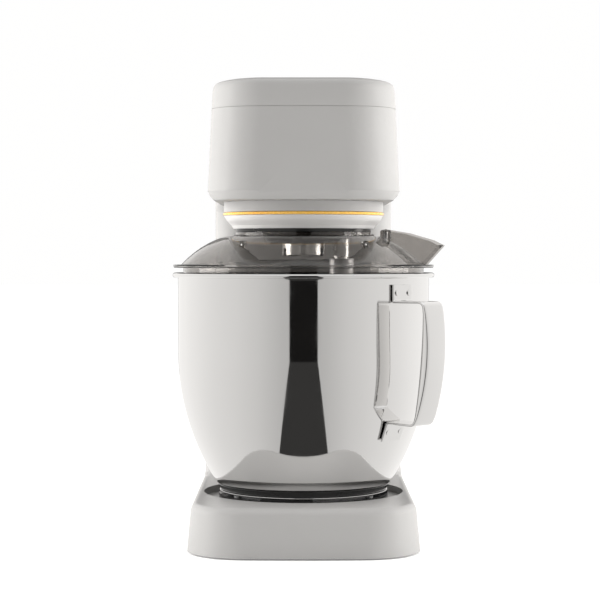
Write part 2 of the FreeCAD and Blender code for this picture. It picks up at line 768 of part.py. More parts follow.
def neck_levels(inset, low, high):
    """Sections of the neck: straight, then flared forwards under the head."""
    rear = "neck_rear - %s" % inset
    front = "column_front + %s" % inset
    corner = "column_corner - %s" % inset
    half_width = "column_half_width - %s" % inset
    return [(low, half_width, front, rear, corner),
            ("head_z - 16", half_width, front, rear, corner),
            ("head_z - 6", half_width + " - 0.2", front + " - 4", rear, corner),
            ("head_z + 1", half_width + " - 0.4", front + " - 14", rear, corner),
            ("head_z + chin_height + 1", half_width + " - 0.6", front + " - 14", rear, corner),
            (high, half_width + " - 5", front + " - 14", rear + " - 3", corner)]


def head_block(name, inset, low, high):
    """The head's main block: sides that lean in, wider at the rear, with round upright corners."""
    levels = []
    for z in (low, high):
        lean = "(((%s) - head_z - chin_height) * tan(head_lean) + %s)" % (z, inset)
        front_half = "(head_half_width - %s)" % lean
        rear_half = "(head_half_width + head_rear_spread - %s)" % lean
        levels.append((z, front_half, rear_half, "-(head_front - %s)" % lean, "neck_rear - %s" % inset))
    sketches = []
    for index, (z, front_half, rear_half, front, rear) in enumerate(levels):
        sketch = doc.addObject("Sketcher::SketchObject", "%s_level_%d" % (name, index))
        put(sketch, z=z)
        draw(sketch, [mirrored([(front_half, front), (rear_half, rear)])])
        sketches.append(sketch)
    block = doc.addObject("Part::Loft", name + "_loft")
    block.Sections = sketches
    block.Solid = True
    block.Ruled = True
    doc.recompute()
    middle = number("(neck_rear - head_front) / 2")

    def upright(edge, rear):
        first, last = edge.Vertexes[0].Point, edge.Vertexes[-1].Point
        return abs(first.z - last.z) > 10 and (first.y > middle) == rear
    front_round = rounded(block, name + "_front_corners", "head_corner - %s" % inset,
                          lambda edge: upright(edge, False))
    return rounded(front_round, name + "_rear_corners", "column_corner - %s" % inset,
                   lambda edge: upright(edge, True) and edge.Vertexes[0].Y > middle + 100)


def neck(name, inset, high):
    """The neck above the parting line, closed below by the round barrel."""
    shape = loft(name + "_loft", neck_levels(inset, "hinge_z - barrel_radius - 5", high))
    barrel = cylinder(name + "_barrel", "barrel_radius - %s" % inset, "240", "-120", "hinge_y", "hinge_z",
                      axis="x")
    above = centred_box(name + "_above", "120", "column_front - 60", "hinge_z + 0.8 + %s" % inset,
                        "200", "200")
    return common(name, [shape, fused(name + "_zone", [barrel, above])])


def head_outside():
    block = head_block("head_block", "0", "head_z + chin_height", "top_z")
    doc.recompute()
    top = number("top_z")
    block_round = rounded(block, "head_block_round", "head_edge",
                          lambda edge: all(abs(v.Z - top) < 0.01 for v in edge.Vertexes))
    chin = loft("chin", [
        (z, "head_half_width - %s" % inset, "-(head_front - %s)" % inset, "neck_rear - 20",
         "head_corner - %s" % inset)
        for z, inset in (("head_z", "chin_inset"), ("head_z + chin_height / 2", "chin_inset * 0.3"),
                         ("head_z + chin_height", "0"))])
    return fused("head_outside", [block_round, chin, neck("neck", "0", "head_z + chin_height + 10")])


def head_inside():
    sharp = head_block("head_room", "wall", "head_z + wall + 6", "top_z - wall")
    doc.recompute()
    top = number("top_z - wall")
    block = rounded(sharp, "head_room_round", "head_edge - wall",
                    lambda edge: all(abs(v.Z - top) < 0.01 for v in edge.Vertexes))
    chin = loft("chin_room", [
        (z, "head_half_width - %s - wall" % inset, "-(head_front - %s - wall)" % inset, "neck_rear - 24",
         "head_corner - %s - wall" % inset)
        for z, inset in (("head_z + wall", "chin_inset"), ("head_z + wall + 6", "1"))])
    return fused("head_inside", [block, chin, neck("neck_room", "wall", "head_z + chin_height + 12")])


def head_shells():
    """The two painted shells, split at the seam."""
    shell = cut("head_skin", head_outside(), [head_inside()])
    lower_zone = box("lower_zone", ("-200", "-200", "100"), ("400", "600", "seam_z - seam_gap / 2 - 100"))
    upper_zone = box("upper_zone", ("-200", "-200", "seam_z + seam_gap / 2"), ("400", "600", "100"))
    hub_hole = cylinder("hub_hole", "hub_bore + 4", "12", z="head_z - 2")
    ear_room = centred_box("ear_room", "ear_inner + ear_thickness + 7", "hinge_y - 13",
                           "hinge_z - barrel_radius - 6", "41", "barrel_radius + 6 - column_rear_drop")
    ear_slots = [box("ear_room_%s" % side, (x, "hinge_y - 13", "hinge_z - barrel_radius - 6"),
                     ("ear_thickness + 2", "13 + barrel_radius", "barrel_radius + 6 - 16.5"))
                 for side, x in (("left", "-ear_inner - ear_thickness - 1"), ("right", "ear_inner - 1"))]
    button_hole = cylinder("button_hole", "button_radius + 0.3", "20", "-column_half_width - 8", "hinge_y",
                           "hinge_z - lock_orbit", axis="x")
    bosses = [cylinder("cover_boss_%d" % index, "4.5", "seam_z - head_z - 30.6", x, y, "head_z + 30.3")
              for index, (x, y) in enumerate(cover_screw_spots())]
    boss_holes = holes("boss", [(x, y, "seam_z - 16") for x, y in cover_screw_spots()], "1.6", "20")
    lower = cut("lower_shell", common("lower_half", [shell, lower_zone]),
                [hub_hole, ear_room, button_hole] + ear_slots)
    tied = [centred_box("boss_tie_%d" % index, "1.5", y, "head_z + 30.3", "14", "seam_z - head_z - 30.6")
            for index, y in enumerate(("-head_front + 5", "neck_rear - 16"))]
    bossed = fused("lower_with_bosses", [lower] + bosses + tied)
    node(cut("lower_finished", bossed, boss_holes), "head_lower_shell")
    lid_bosses = [cylinder("lid_boss_%d" % index, "4.5", "cover_depth - wall + seam_gap", x, y,
                           "seam_z + seam_gap / 2") for index, (x, y) in enumerate(cover_screw_spots())]
    lid_holes = holes("lid", [(x, y, "seam_z - 1") for x, y in cover_screw_spots()], "1.6", "16")
    upper = fused("upper_with_bosses", [common("upper_half", [shell, upper_zone])] + lid_bosses)
    node(cut("upper_finished", upper, lid_holes), "head_top_cover")
    pins = [cylinder("cover_pin_%d" % index, "1.5", "24", x, y, "seam_z - 13")
            for index, (x, y) in enumerate(cover_screw_spots())]
    node(group("cover_pins", pins), "cover_screws")


def cover_screw_spots():
    return [("0", "-head_front + 18"), ("0", "neck_rear - 14")]


def hub():
    trim_top = "hub_z + trim_rise + trim_height"
    node(ring("collar_wall", "hub_bore", "hub_radius", trim_top + " + 0.1", "head_z - 0.1"), "hub_collar")
    node(turned("trim", [
        ("hub_bore", "hub_z + trim_rise"), ("hub_radius", "hub_z + trim_rise"),
        ("hub_radius + 0.5", "hub_z + trim_rise + 0.6"),
        ("hub_radius + 0.5", trim_top + " - 0.6"), ("hub_radius", trim_top), ("hub_bore", trim_top)]),
         "trim_ring")
    node(turned("skirt", [
        ("hub_lip_radius - 1.4", "hub_z"), ("hub_lip_radius", "hub_z"),
        ("hub_lip_radius + 1.6", "hub_z + 3"),
        ("hub_radius - 2.7", "hub_z + 7.3"),
        ("hub_radius", "hub_z + trim_rise - 0.1", "20", "left"),
        ("hub_bore", "hub_z + trim_rise - 0.1"), ("hub_bore", "hub_z + 6.5"),
        ("hub_lip_radius - 1.4", "hub_z + 6.5")]), "hub_skirt")


# ---------------------------------------------------------------- gears and drive

def involute(angle):
    return math.tan(angle) - angle


def gear_wire(teeth, tip, root, thickness, low):
    """An involute outline with one tooth centred on +X."""
    pitch = number("gear_module") * teeth / 2
    pressure = math.radians(20)
    base = pitch * math.cos(pressure)
    half = thickness / (2 * pitch) + involute(pressure)
    steps = 4
    points = []
    for tooth in range(teeth):
        middle = 2 * math.pi * tooth / teeth
        flank = []
        start = max(root, base)
        for step in range(steps + 1):
            radius = start + (tip - start) * step / steps
            turn = half - involute(math.acos(min(base / radius, 1.0)))
            flank.append((radius, turn))
        if root < base:
            flank.insert(0, (root, flank[0][1]))
        for radius, turn in flank:
            points.append(Vector(radius * math.cos(middle - turn), radius * math.sin(middle - turn), low))
        for radius, turn in reversed(flank):
            points.append(Vector(radius * math.cos(middle + turn), radius * math.sin(middle + turn), low))
    return Part.makePolygon(points + [points[0]])


def gear_solid(teeth, tip, root, thickness, low, height):
    return Part.Face(gear_wire(teeth, tip, root, thickness, low)).extrude(Vector(0, 0, height))


def shaped(name, shape):
    thing = doc.addObject("Part::Feature", name)
    thing.Shape = shape
    return thing


def gear_low():
    return "hub_z + 7"


def gears():
    module = number("gear_module")
    ring_teeth = int(number("ring_teeth"))
    pinion_teeth = int(number("pinion_teeth"))
    slack = number("gear_backlash")
    half_pitch = math.pi * module / 2
    low, width = number(gear_low()), number("gear_width")
    ring_pitch = module * ring_teeth / 2
    spaces = gear_solid(ring_teeth, ring_pitch + 1.3 * module, ring_pitch - 0.55 * module,
                        half_pitch + slack / 2, low - 1, width + 2)
    rim = Part.makeCylinder(number("ring_radius"), width, Vector(0, 0, low))
    node(shaped("ring_gear_shape", rim.cut(spaces)), "ring_gear")
    pitch = module * pinion_teeth / 2
    pinion = gear_solid(pinion_teeth, pitch + 0.95 * module, pitch - 1.25 * module, half_pitch - slack / 2,
                        low + 0.3, width - 0.6)
    bore = Part.makeCylinder(number("shaft_radius"), width + 4, Vector(0, 0, low - 2))
    node(shaped("pinion_shape", pinion.cut(bore)), "tool_pinion", x="tool_offset")


def gearbox_frame():
    disc_low = gear_low() + " + gear_width + 1.5"
    disc = cylinder("frame_disc", "hub_bore - 0.5", "frame_z - (%s) - 24" % disc_low, z=disc_low)
    tower = cylinder("frame_tower", "tower_radius", "frame_z + frame_thickness - (%s)" % disc_low,
                     z=disc_low)
    plate = centred_box("frame_plate", "motor_radius + 13.5", "-38", "frame_z",
                        "motor_y + motor_radius + 38", "frame_thickness")
    rib_low, rib_length = "frame_z - 26", "2 * hub_bore - 48"
    ribs = [centred_box("frame_rib", "2.5", "-hub_bore + 24", rib_low, rib_length, "26"),
            box("frame_cross_rib", ("-hub_bore + 24", "-2.5", rib_low), (rib_length, "5", "26"))]
    lugs = []
    for side, x in (("left", "-ear_inner + 0.6"), ("right", "ear_inner - lug_thickness - 0.6")):
        web = box("lug_web_" + side, (x, "hinge_y - 12", "hinge_z"),
                  ("lug_thickness", "24", "frame_z - hinge_z"))
        disc_end = cylinder("lug_disc_" + side, "lock_orbit + 6.5", "lug_thickness", x, "hinge_y", "hinge_z",
                            axis="x")
        lugs += [web, disc_end]
    solid = fused("frame_solid", [disc, tower, plate] + ribs + lugs)
    shaft_room = cylinder("frame_bore", "bearing_race", "90", z=disc_low + " - 5")
    high_bearing = "frame_z + frame_thickness - bearing_height"
    low_seat = cylinder("low_seat", "bearing_radius", "bearing_height", z=disc_low)
    high_seat = cylinder("high_seat", "bearing_radius", "bearing_height", z=high_bearing)
    bush_bore = cylinder("bush_bore", "pin_radius + 2.5", "160", "-80", "hinge_y", "hinge_z", axis="x")
    rod_bore = cylinder("rod_bore", "lock_rod_radius + 0.3", "100", "-100", "hinge_y", "hinge_z - lock_orbit",
                        axis="x")
    motor_bore = cylinder("motor_bore", "motor_pulley_radius + 3", "40", y="motor_y", z="frame_z - 10")
    pinion_room = cylinder("pinion_room", "shaft_radius + 2", "14", "tool_offset", "0", disc_low + " - 2")
    screw_holes = holes("motor", motor_screw_places("frame_z - 1"), "2.05", "12")
    drilled = cut("frame_drilled", solid, [shaft_room, low_seat, high_seat, bush_bore, rod_bore, motor_bore,
                                           pinion_room] + screw_holes)
    node(drilled, "gearbox_frame")
    for label, z in (("lower_bearing", disc_low), ("upper_bearing", high_bearing)):
        race = turned(label + "_race", [
            ("shaft_radius + running_gap", "0"), ("bush_radius", "0"), ("bush_radius", "1.2"),
            ("bearing_race", "1.2"), ("bearing_race", "0"), ("bearing_radius", "0"),
            ("bearing_radius", "bearing_height"), ("bearing_race", "bearing_height"),
            ("bearing_race", "bearing_height - 1.2"), ("bush_radius", "bearing_height - 1.2"),
            ("bush_radius", "bearing_height"), ("shaft_radius + running_gap", "bearing_height")])
        node(race, label, z=z)
    bushes = []
    for side, x in (("left", "-ear_inner + 0.4"), ("right", "ear_inner - lug_thickness - 0.8")):
        outer = cylinder("bush_" + side, "pin_radius + 2.5", "lug_thickness + 0.4", x, "hinge_y", "hinge_z",
                         axis="x")
        inner = cylinder("bush_hole_" + side, "pin_radius + running_gap", "30", x + " - 5", "hinge_y",
                         "hinge_z", axis="x")
        bushes.append(cut("hinge_bush_" + side, outer, [inner]))
    node(group("bushes", bushes), "hinge_bushes")


def motor_screw_places(z):
    return [("motor_screw_circle * cos(%d)" % turn, "motor_y + motor_screw_circle * sin(%d)" % turn, z)
            for turn in (45, 135, 225, 315)]


def motor():
    low = "frame_z - motor_height - 0.2"
    can = turned("can", [
        ("5", "0"), ("motor_radius", "0"), ("motor_radius", "motor_height"), ("13", "motor_height"),
        ("13", "motor_height - 3"), ("motor_radius - 2.5", "motor_height - 3"), ("motor_radius - 2.5", "3"),
        ("5", "3")])
    node(can, "motor_can", y="motor_y", z=low)
    stator = turned("coils", [
        ("rotor_radius + 0.6", "8"), ("motor_radius - 2.7", "8"), ("motor_radius - 2.7", "motor_height - 8"),
        ("rotor_radius + 0.6", "motor_height - 8")])
    slots = []
    for index in range(9):
        slot = doc.addObject("Part::Box", "coil_slot_%d" % index)
        bind(slot, Length="7", Width="2.4", Height="60")
        slot.Placement = Placement(Vector(), Rotation(Vector(0, 0, 1), 40 * index))
        put(slot, "17 * cos(%d) + 1.2 * sin(%d)" % (40 * index, 40 * index),
            "17 * sin(%d) - 1.2 * cos(%d)" % (40 * index, 40 * index), "0")
        slots.append(slot)
    node(cut("stator", stator, slots), "motor_stator", y="motor_y", z=low)
    node(turned("rotor", [
        ("0", "1"), ("motor_shaft_radius", "1"), ("motor_shaft_radius", "8"), ("rotor_radius", "8"),
        ("rotor_radius", "motor_height - 8"), ("motor_shaft_radius", "motor_height - 8"),
        ("motor_shaft_radius", "motor_height + 27"), ("0", "motor_height + 27")]),
        "motor_rotor", y="motor_y", z=low)
    small = pulley("small", "motor_shaft_radius", "motor_pulley_radius")
    node(small, "motor_pulley", y="motor_y", z=pulley_low())
    node(screws("motor_fixings", motor_screw_places("frame_z + frame_thickness"), "3.6", "2.4", "2",
                "frame_thickness + 2.8"), "motor_screws")


def pulley_low():
    return "frame_z + frame_thickness + 4"


def pulley(name, bore, groove):
    """A flanged belt pulley standing on its own lower face."""
    high = "belt_width + 3.4"
    return turned(name + "_pulley", [
        (bore, "0"), (groove + " + 2.6", "0"), (groove + " + 2.6", "1.2"), (groove, "1.2"),
        (groove, high + " - 1.2"), (groove + " + 2.6", high + " - 1.2"), (groove + " + 2.6", high),
        (bore, high)])


def belt_loop(gap):
    """The belt's way round both pulleys, a gap outside their grooves."""
    big = "(pulley_radius + %s)" % gap
    small = "(motor_pulley_radius + %s)" % gap
    sine = "((pulley_radius - motor_pulley_radius) / motor_y)"
    cosine = "sqrt(1 - %s^2)" % sine
    return [
        ("0", "-%s" % big),
        ("%s * %s" % (big, cosine), "%s * %s" % (big, sine), big, "left"),
        ("%s * %s" % (small, cosine), "motor_y + %s * %s" % (small, sine)),
        ("0", "motor_y + %s" % small, small, "left"),
        ("-%s * %s" % (small, cosine), "motor_y + %s * %s" % (small, sine), small, "left"),
        ("-%s * %s" % (big, cosine), "%s * %s" % (big, sine)),
    ]


def belt():
    loops = []
    for gap in ("(0.1 + belt_thickness)", "0.1"):
        first, *rest = belt_loop(gap)
        loops.append([first + ("(pulley_radius + %s)" % gap, "left")] + rest)
    node(padded("belt_band", "XY_Plane", loops, "belt_width", offset=pulley_low() + " + 1.7"), "drive_belt")


def central_drive():
    carrier_low = "hub_z - carrier_dome_drop"
    shaft_top = pulley_low() + " + belt_width + 8"
    shaft = cylinder("centre_shaft", "shaft_radius", "%s - (%s) - 2" % (shaft_top, carrier_low))
    node(shaft, "central_shaft", z=carrier_low + " + 2")
    node(pulley("large", "shaft_radius", "pulley_radius"), "drive_pulley", z=pulley_low())
    dome = "carrier_dome_radius"
    casting = turned("casting", [
        ("0", carrier_low), (dome + " - 8", carrier_low), (dome + " - 2", carrier_low + " + 4", "8", "left"),
        (dome, "hub_z - 4"), (dome, "hub_z - 0.8"), ("carrier_radius", "hub_z - 0.8"),
        ("carrier_radius", "hub_z + 4.4"),
        ("12", "hub_z + 4.4"), ("12", "hub_z + 14"), ("0", "hub_z + 14")])
    boss = cylinder("casting_boss", "boss_radius", "16.2", "tool_offset", "0", "hub_z - 11.8")
    shaft_bore = cylinder("casting_bore", "shaft_radius", "60", z=carrier_low + " + 2")
    bush_seat = cylinder("casting_bush_seat", "bush_radius", "40", "tool_offset", "0", "hub_z - 11.6")
    collar_room = cylinder("casting_collar_room", "shaft_radius + 1.7", "40", "tool_offset", "0",
                           carrier_low + " - 5")
    node(cut("carrier", fused("carrier_solid", [casting, boss]), [shaft_bore, bush_seat, collar_room]),
         "planet_carrier")
    collar = turned("centre_collar", [
        ("shaft_radius + 1", carrier_low + " - 11"), ("collar_radius - 1", carrier_low + " - 11"),
        ("collar_radius", carrier_low + " - 10"), ("collar_radius", carrier_low),
        ("shaft_radius + 1", carrier_low)])
    slots = []
    for index in range(6):
        slot = doc.addObject("Part::Box", "collar_slot_%d" % index)
        bind(slot, Length="12", Width="3.6", Height="7.5")
        angle = 60 * index + 30
        slot.Placement = Placement(Vector(), Rotation(Vector(0, 0, 1), angle))
        put(slot, "(collar_radius - 6) * cos(%d) + 1.8 * sin(%d)" % (angle, angle),
            "(collar_radius - 6) * sin(%d) - 1.8 * cos(%d)" % (angle, angle), carrier_low + " - 12")
        slots.append(slot)
    node(cut("slotted_collar", collar, slots), "central_collar")
    bush = ring("tool_bush", "shaft_radius + running_gap", "bush_radius", "hub_z - 11.6", "hub_z + 5")
    node(bush, "tool_bush",
         x="tool_offset")


# ---------------------------------------------------------------- tool

def tool():
    """The tool shaft, its pin and the flat beater, drawn about the shaft's own axis."""
    collar_low, collar_high = "hub_z - 27.4", "hub_z - 12"
    tip = "hub_z - 46"
    shaft = turned("spindle", [
        ("0", tip), ("shaft_radius", tip), ("shaft_radius", collar_low), ("shaft_radius + 1.2", collar_low),
        ("shaft_radius + 1.2", collar_high), ("shaft_radius", collar_high), ("shaft_radius", "hub_z + 17"),
        ("0", "hub_z + 17")])
    pin_bore = cylinder("spindle_bore", "2", "40", "-20", "0", "hub_z - 38", axis="x")
    node(cut("spindle_drilled", shaft, [pin_bore]), "tool_shaft", x="tool_offset")
    node(cylinder("pin_rod", "2", "18", "-9", "0", "hub_z - 38", axis="x"), "cross_pin",
         "tool_offset - 9", z="hub_z - 38")
    beater(collar_low)


def beater(hub_top):
    """A flat frame with a spine and ribs under a bored hub."""
    low, wide = "beater_z", "beater_half_width"
    outline = mirrored([
        ("11", low),
        ("%s - 6" % wide, low + " + 50", "64", "left"),
        (wide, low + " + 68", "60", "left"),
        (wide, low + " + 91"),
        (wide + " * 0.72", low + " + 126", "50", "left"),
        ("9", low + " + 148"),
        ("9", low + " + 158"),
    ])
    loops = [outline]
    inner = wide + " - 10"
    for sign in ("", "-"):
        side = "left" if sign == "" else "right"
        loops.append([("%s4" % sign, low + " + 11"), ("%s9" % sign, low + " + 11"),
                      ("%s(%s - 8)" % (sign, inner), low + " + 51", "56", side),
                      ("%s4" % sign, low + " + 60")])
        loops.append([("%s4" % sign, low + " + 70"), ("%s(%s)" % (sign, inner), low + " + 60"),
                      ("%s(%s)" % (sign, inner), low + " + 92"),
                      ("%s(%s * 0.6)" % (sign, wide), low + " + 120", "42", side),
                      ("%s4" % sign, low + " + 138")])
    frame = padded("blade", "XZ_Plane", loops, "beater_thickness", middle=True)
    hub_low = low + " + 144"
    sleeve = cylinder("blade_hub", "boss_radius", "%s - 1.2 - (%s)" % (hub_top, hub_low), z=hub_low)
    bore = cylinder("blade_bore", "shaft_radius + 0.3", "60", z="hub_z - 46.6")
    pin_room = box("blade_pin_room", ("-20", "-2.4", "hub_z - 40.4"), ("40", "4.8", "20"))
    node(cut("beater_finished", fused("beater_solid", [frame, sleeve]), [bore, pin_room]), "flat_beater",
         x="tool_offset")


# ---------------------------------------------------------------- guard

def guard():
    wall = "guard_wall"
    throat = "hub_lip_radius - 2"
    loop = [
        ("skirt_radius - %s" % wall, "rim_z - guard_skirt_drop + guard_gap"),
        ("skirt_radius", "rim_z - guard_skirt_drop + guard_gap"),
        ("skirt_radius", "guard_z"), ("flange_radius", "guard_z"), ("flange_radius", "guard_z + %s" % wall),
        ("flange_radius - 7", "guard_z + %s" % wall),
        ("guard_top_radius", "guard_top_z", "guard_dome_bend", "left"),
        (throat, "guard_top_z + 0.4"), (throat, "guard_top_z + 0.4 - %s" % wall),
        ("guard_top_radius - 0.6", "guard_top_z - %s" % wall),
        ("skirt_radius - %s" % wall, "guard_z + 0.6", "guard_dome_bend - %s" % wall, "right"),
    ]
    skin = turned("guard_skin", loop)
    window = rear_window()
    mouth = box("chute_mouth", ("guard_top_radius + 4", "-chute_half_width + 2.2", "guard_z + 3.4"),
                ("flange_radius - guard_top_radius - 14", "2 * chute_half_width - 4.4", "40"))
    stud_bores = holes("stud", [(x, y, "guard_z") for x, y in stud_spots()], "2.7", "30")
    node(cut("guard_open", skin, [window, mouth] + stud_bores), "splash_guard")

    lip = "guard_top_z + 0.5"
    node(turned("mount_ring", [
        (throat + " - 2.4", "guard_top_z - 2.5"), (throat + " - 0.2", "guard_top_z - 2.5"),
        (throat + " - 0.2", lip),
        (throat + " + 2.6", lip), (throat + " + 2.6", lip + " + 1.4"), (throat + " - 0.2", lip + " + 1.4"),
        (throat + " - 0.2", "hub_z + 4"), (throat + " - 2.4", "hub_z + 4")]), "guard_mount_ring")
    studs = []
    for index, (x, y) in enumerate(stud_spots()):
        stem = cylinder("stud_stem_%d" % index, "2.5", "12", x, y, "guard_z + 11")
        head = cylinder("stud_head_%d" % index, "3.6", "1.6", x, y, "guard_z + 21.8")
        studs.append(fused("stud_%d" % index, [stem, head]))
    node(group("studs", studs), "guard_studs")


def stud_spots():
    return [(x, "-0.64 * skirt_radius") for x in ("-0.49 * skirt_radius", "0.49 * skirt_radius")]


def rear_window():
    """A U-shaped opening through the guard's rear, narrow at its foot."""
    half_top, half_low = "guard_top_radius - 7", "0.42 * skirt_radius"
    body = padded("window", "XZ_Plane", [mirrored([
        (half_low + " - 6", "guard_z + 3"), (half_low, "guard_z + 5", "6", "left"),
        (half_top, "guard_top_z - 7"), (half_top + " + 1", "guard_top_z - 3.5")])],
        "flange_radius - guard_top_radius + 30")
    body.Placement = Placement(Vector(), Rotation(Vector(0, 0, 1), 180))
    doc.recompute()
    return put(body, y="46")


def chute_side(inset, low):
    """The hopper's side view, open above and below where the inset is not nothing."""
    rise = "0" if inset == "0" else "8"
    foot = "flange_radius - 7.3 - %s" % inset
    slope = "((chute_reach - flange_radius + 7.3) / (guard_top_z - 8.3 - guard_z - guard_wall))"
    high_x = "chute_reach - %s + %s * %s" % (inset, rise, slope)
    return [
        ("guard_top_radius + 0.4 + %s" % inset, low),
        ("%s - (guard_z + guard_wall - (%s)) * %s" % (foot, low, slope), low),
        (high_x, "guard_top_z - 8.3 + %s" % rise),
        ("chute_reach - 9.2 - %s" % inset, "guard_top_z - 3.7 + %s" % rise),
        ("guard_top_radius + 22.7", "guard_top_z + 2.6 + %s" % rise),
        ("guard_top_radius + 0.4 + %s" % inset, "guard_top_z + 6.3 + %s" % rise),
    ]


def chute():
    outer = padded("hopper", "XZ_Plane", [chute_side("0", "guard_z - 10")], "2 * chute_half_width",
                   middle=True)
    inner = padded("hopper_room", "XZ_Plane", [chute_side("guard_wall", "guard_z - 16")],
                   "2 * (chute_half_width - guard_wall)", middle=True)
    under = turned("dome_space", [("0", "guard_z - 40"), ("flange_radius + 30", "guard_z - 40"),
                                  ("flange_radius + 30", "guard_z + guard_wall + 0.15"),
                                  ("flange_radius - 7 + 0.1", "guard_z + guard_wall + 0.15"),
                                  ("guard_top_radius", "guard_top_z + 0.15", "guard_dome_bend", "left"),
                                  ("0", "guard_top_z + 0.7")])
    node(cut("hopper_open", outer, [inner, under]), "guard_chute")


# ---------------------------------------------------------------- release

def release():
    """The button, with the rod that locks the head, and its spring."""
    low = "-column_half_width - 3.4"
    cap = cylinder("cap", "button_radius", "6", low, "0", "0", axis="x")
    rod_length = "column_half_width - ear_inner + lug_thickness + 3.4"
    rod = cylinder("rod", "lock_rod_radius", rod_length, low, "0", "0", axis="x")
    node(fused("cap_and_rod", [cap, rod]), "release_button", y="hinge_y", z="hinge_z - lock_orbit")
    pitch, turns = 3.2, 6
    helix = Part.makeHelix(pitch, pitch * turns, number("lock_rod_radius") + 1.6)
    wire = Part.Wire(Part.makeCircle(0.6, helix.Edges[0].valueAt(0), Vector(0, 1, 0.1)))
    coil = Part.Wire(helix.Edges).makePipeShell([wire], True, False)
    spring = shaped("spring_coil", coil)
    spring.Placement = Placement(Vector(), Rotation(Vector(0, 1, 0), 90))
    node(spring, "release_spring", "-column_half_width + 4", "hinge_y", "hinge_z - lock_orbit")


# ---------------------------------------------------------------- build and write

def check(things):
    for thing in doc.Objects:
        for state in thing.State:
            if state in ("Invalid", "Error"):
                raise RuntimeError("%s is %s" % (thing.Name, state))
    for thing in things:
        if thing.Shape.isNull() or not thing.Shape.isValid():
            raise RuntimeError("%s has no valid shape" % thing.Label)


def main():
    fill_sheet()
    for make in (base_housing, bottom_plate, rubber_feet, bowl_seat, rear_cover, control_board, power_inlet,
                 hinge_bracket, hinge_pin, speed_dial, bowl_shell, bowl_foot, bowl_handle, head_shells, hub,
                 gears, gearbox_frame, motor, belt, central_drive, tool, guard, chute, release):
        make()
    doc.recompute()
    check(nodes)
    os.makedirs("parts", exist_ok=True)
    for thing in nodes:
        thing.Shape.exportStep("parts/%s.step" % thing.Label)
        print("%-20s %8.1f cm3" % (thing.Label, thing.Shape.Volume / 1000))


main()
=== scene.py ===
import json
import math

import bmesh
import bpy
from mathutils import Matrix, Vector


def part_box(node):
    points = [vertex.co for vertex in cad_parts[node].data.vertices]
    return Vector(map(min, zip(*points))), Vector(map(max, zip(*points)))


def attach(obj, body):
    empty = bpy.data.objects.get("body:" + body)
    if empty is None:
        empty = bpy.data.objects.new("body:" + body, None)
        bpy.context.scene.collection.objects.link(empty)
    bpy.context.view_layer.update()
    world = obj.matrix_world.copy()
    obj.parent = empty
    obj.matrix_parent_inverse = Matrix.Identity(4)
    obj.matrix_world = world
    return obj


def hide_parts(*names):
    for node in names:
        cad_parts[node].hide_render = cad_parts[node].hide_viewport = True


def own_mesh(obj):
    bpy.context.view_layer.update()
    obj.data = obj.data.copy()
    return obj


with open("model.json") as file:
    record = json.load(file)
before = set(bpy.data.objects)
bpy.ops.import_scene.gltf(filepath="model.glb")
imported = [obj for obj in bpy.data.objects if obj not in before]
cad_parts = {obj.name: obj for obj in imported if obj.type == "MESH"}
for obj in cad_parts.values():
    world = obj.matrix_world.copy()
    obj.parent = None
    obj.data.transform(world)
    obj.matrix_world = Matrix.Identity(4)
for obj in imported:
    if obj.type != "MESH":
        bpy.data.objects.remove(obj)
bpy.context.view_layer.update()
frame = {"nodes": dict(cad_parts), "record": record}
NODES = frame["nodes"]

# Lengths below are in millimetres about the bowl's upright axis, with z above the floor.
MM = 0.001
low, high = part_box("bowl_shell")
AXIS = Vector(((low.x + high.x) / 2, (low.y + high.y) / 2, 0.0))


def place(x, y, z):
    return Vector((AXIS.x + x * MM, AXIS.y + y * MM, z * MM))


# ---------------------------------------------------------------- materials

class Shader:
    """A Principled material and short ways to add nodes to it."""

    def __init__(self, name, **values):
        self.material = bpy.data.materials.new(name)
        self.material.use_nodes = True
        self.tree = self.material.node_tree
        self.main = self.tree.nodes["Principled BSDF"]
        for socket, value in values.items():
            self.main.inputs[socket.replace("_", " ")].default_value = value

    def add(self, kind, **inputs):
        made = self.tree.nodes.new(kind)
        for name, value in inputs.items():
            name = name.replace("_", " ")
            if isinstance(value, bpy.types.NodeSocket):
                self.tree.links.new(value, made.inputs[name])
            else:
                made.inputs[name].default_value = value
        return made

    def coords(self, scale=(1, 1, 1)):
        made = self.add("ShaderNodeMapping", Vector=self.add("ShaderNodeTexCoord").outputs["Object"])
        made.inputs["Scale"].default_value = scale
        return made.outputs["Vector"]

    def noise(self, scale, detail=3.0, stretch=(1, 1, 1), roughness=0.55):
        return self.add("ShaderNodeTexNoise", Vector=self.coords(stretch), Scale=scale, Detail=detail,
                        Roughness=roughness).outputs["Fac"]

    def spread(self, value, low, high, start=0.3, end=0.7):
        return self.add("ShaderNodeMapRange", Value=value, From_Min=start, From_Max=end,
                        To_Min=low, To_Max=high).outputs["Result"]

    def tint(self, value, dark, light, start=0.3, end=0.7):
        made = self.add("ShaderNodeMix")
        made.data_type = "RGBA"
        made.inputs[6].default_value = dark + (1.0,)
        made.inputs[7].default_value = light + (1.0,)
        self.tree.links.new(self.spread(value, 0.0, 1.0, start, end), made.inputs[0])
        return made.outputs[2]

    def drive(self, socket, value):
        self.tree.links.new(value, self.main.inputs[socket])

    def bump(self, value, distance, strength=1.0, under=None):
        made = self.add("ShaderNodeBump", Height=value, Distance=distance, Strength=strength)
        if under is not None:
            self.tree.links.new(under, made.inputs["Normal"])
        self.drive("Normal", made.outputs["Normal"])
        return made.outputs["Normal"]


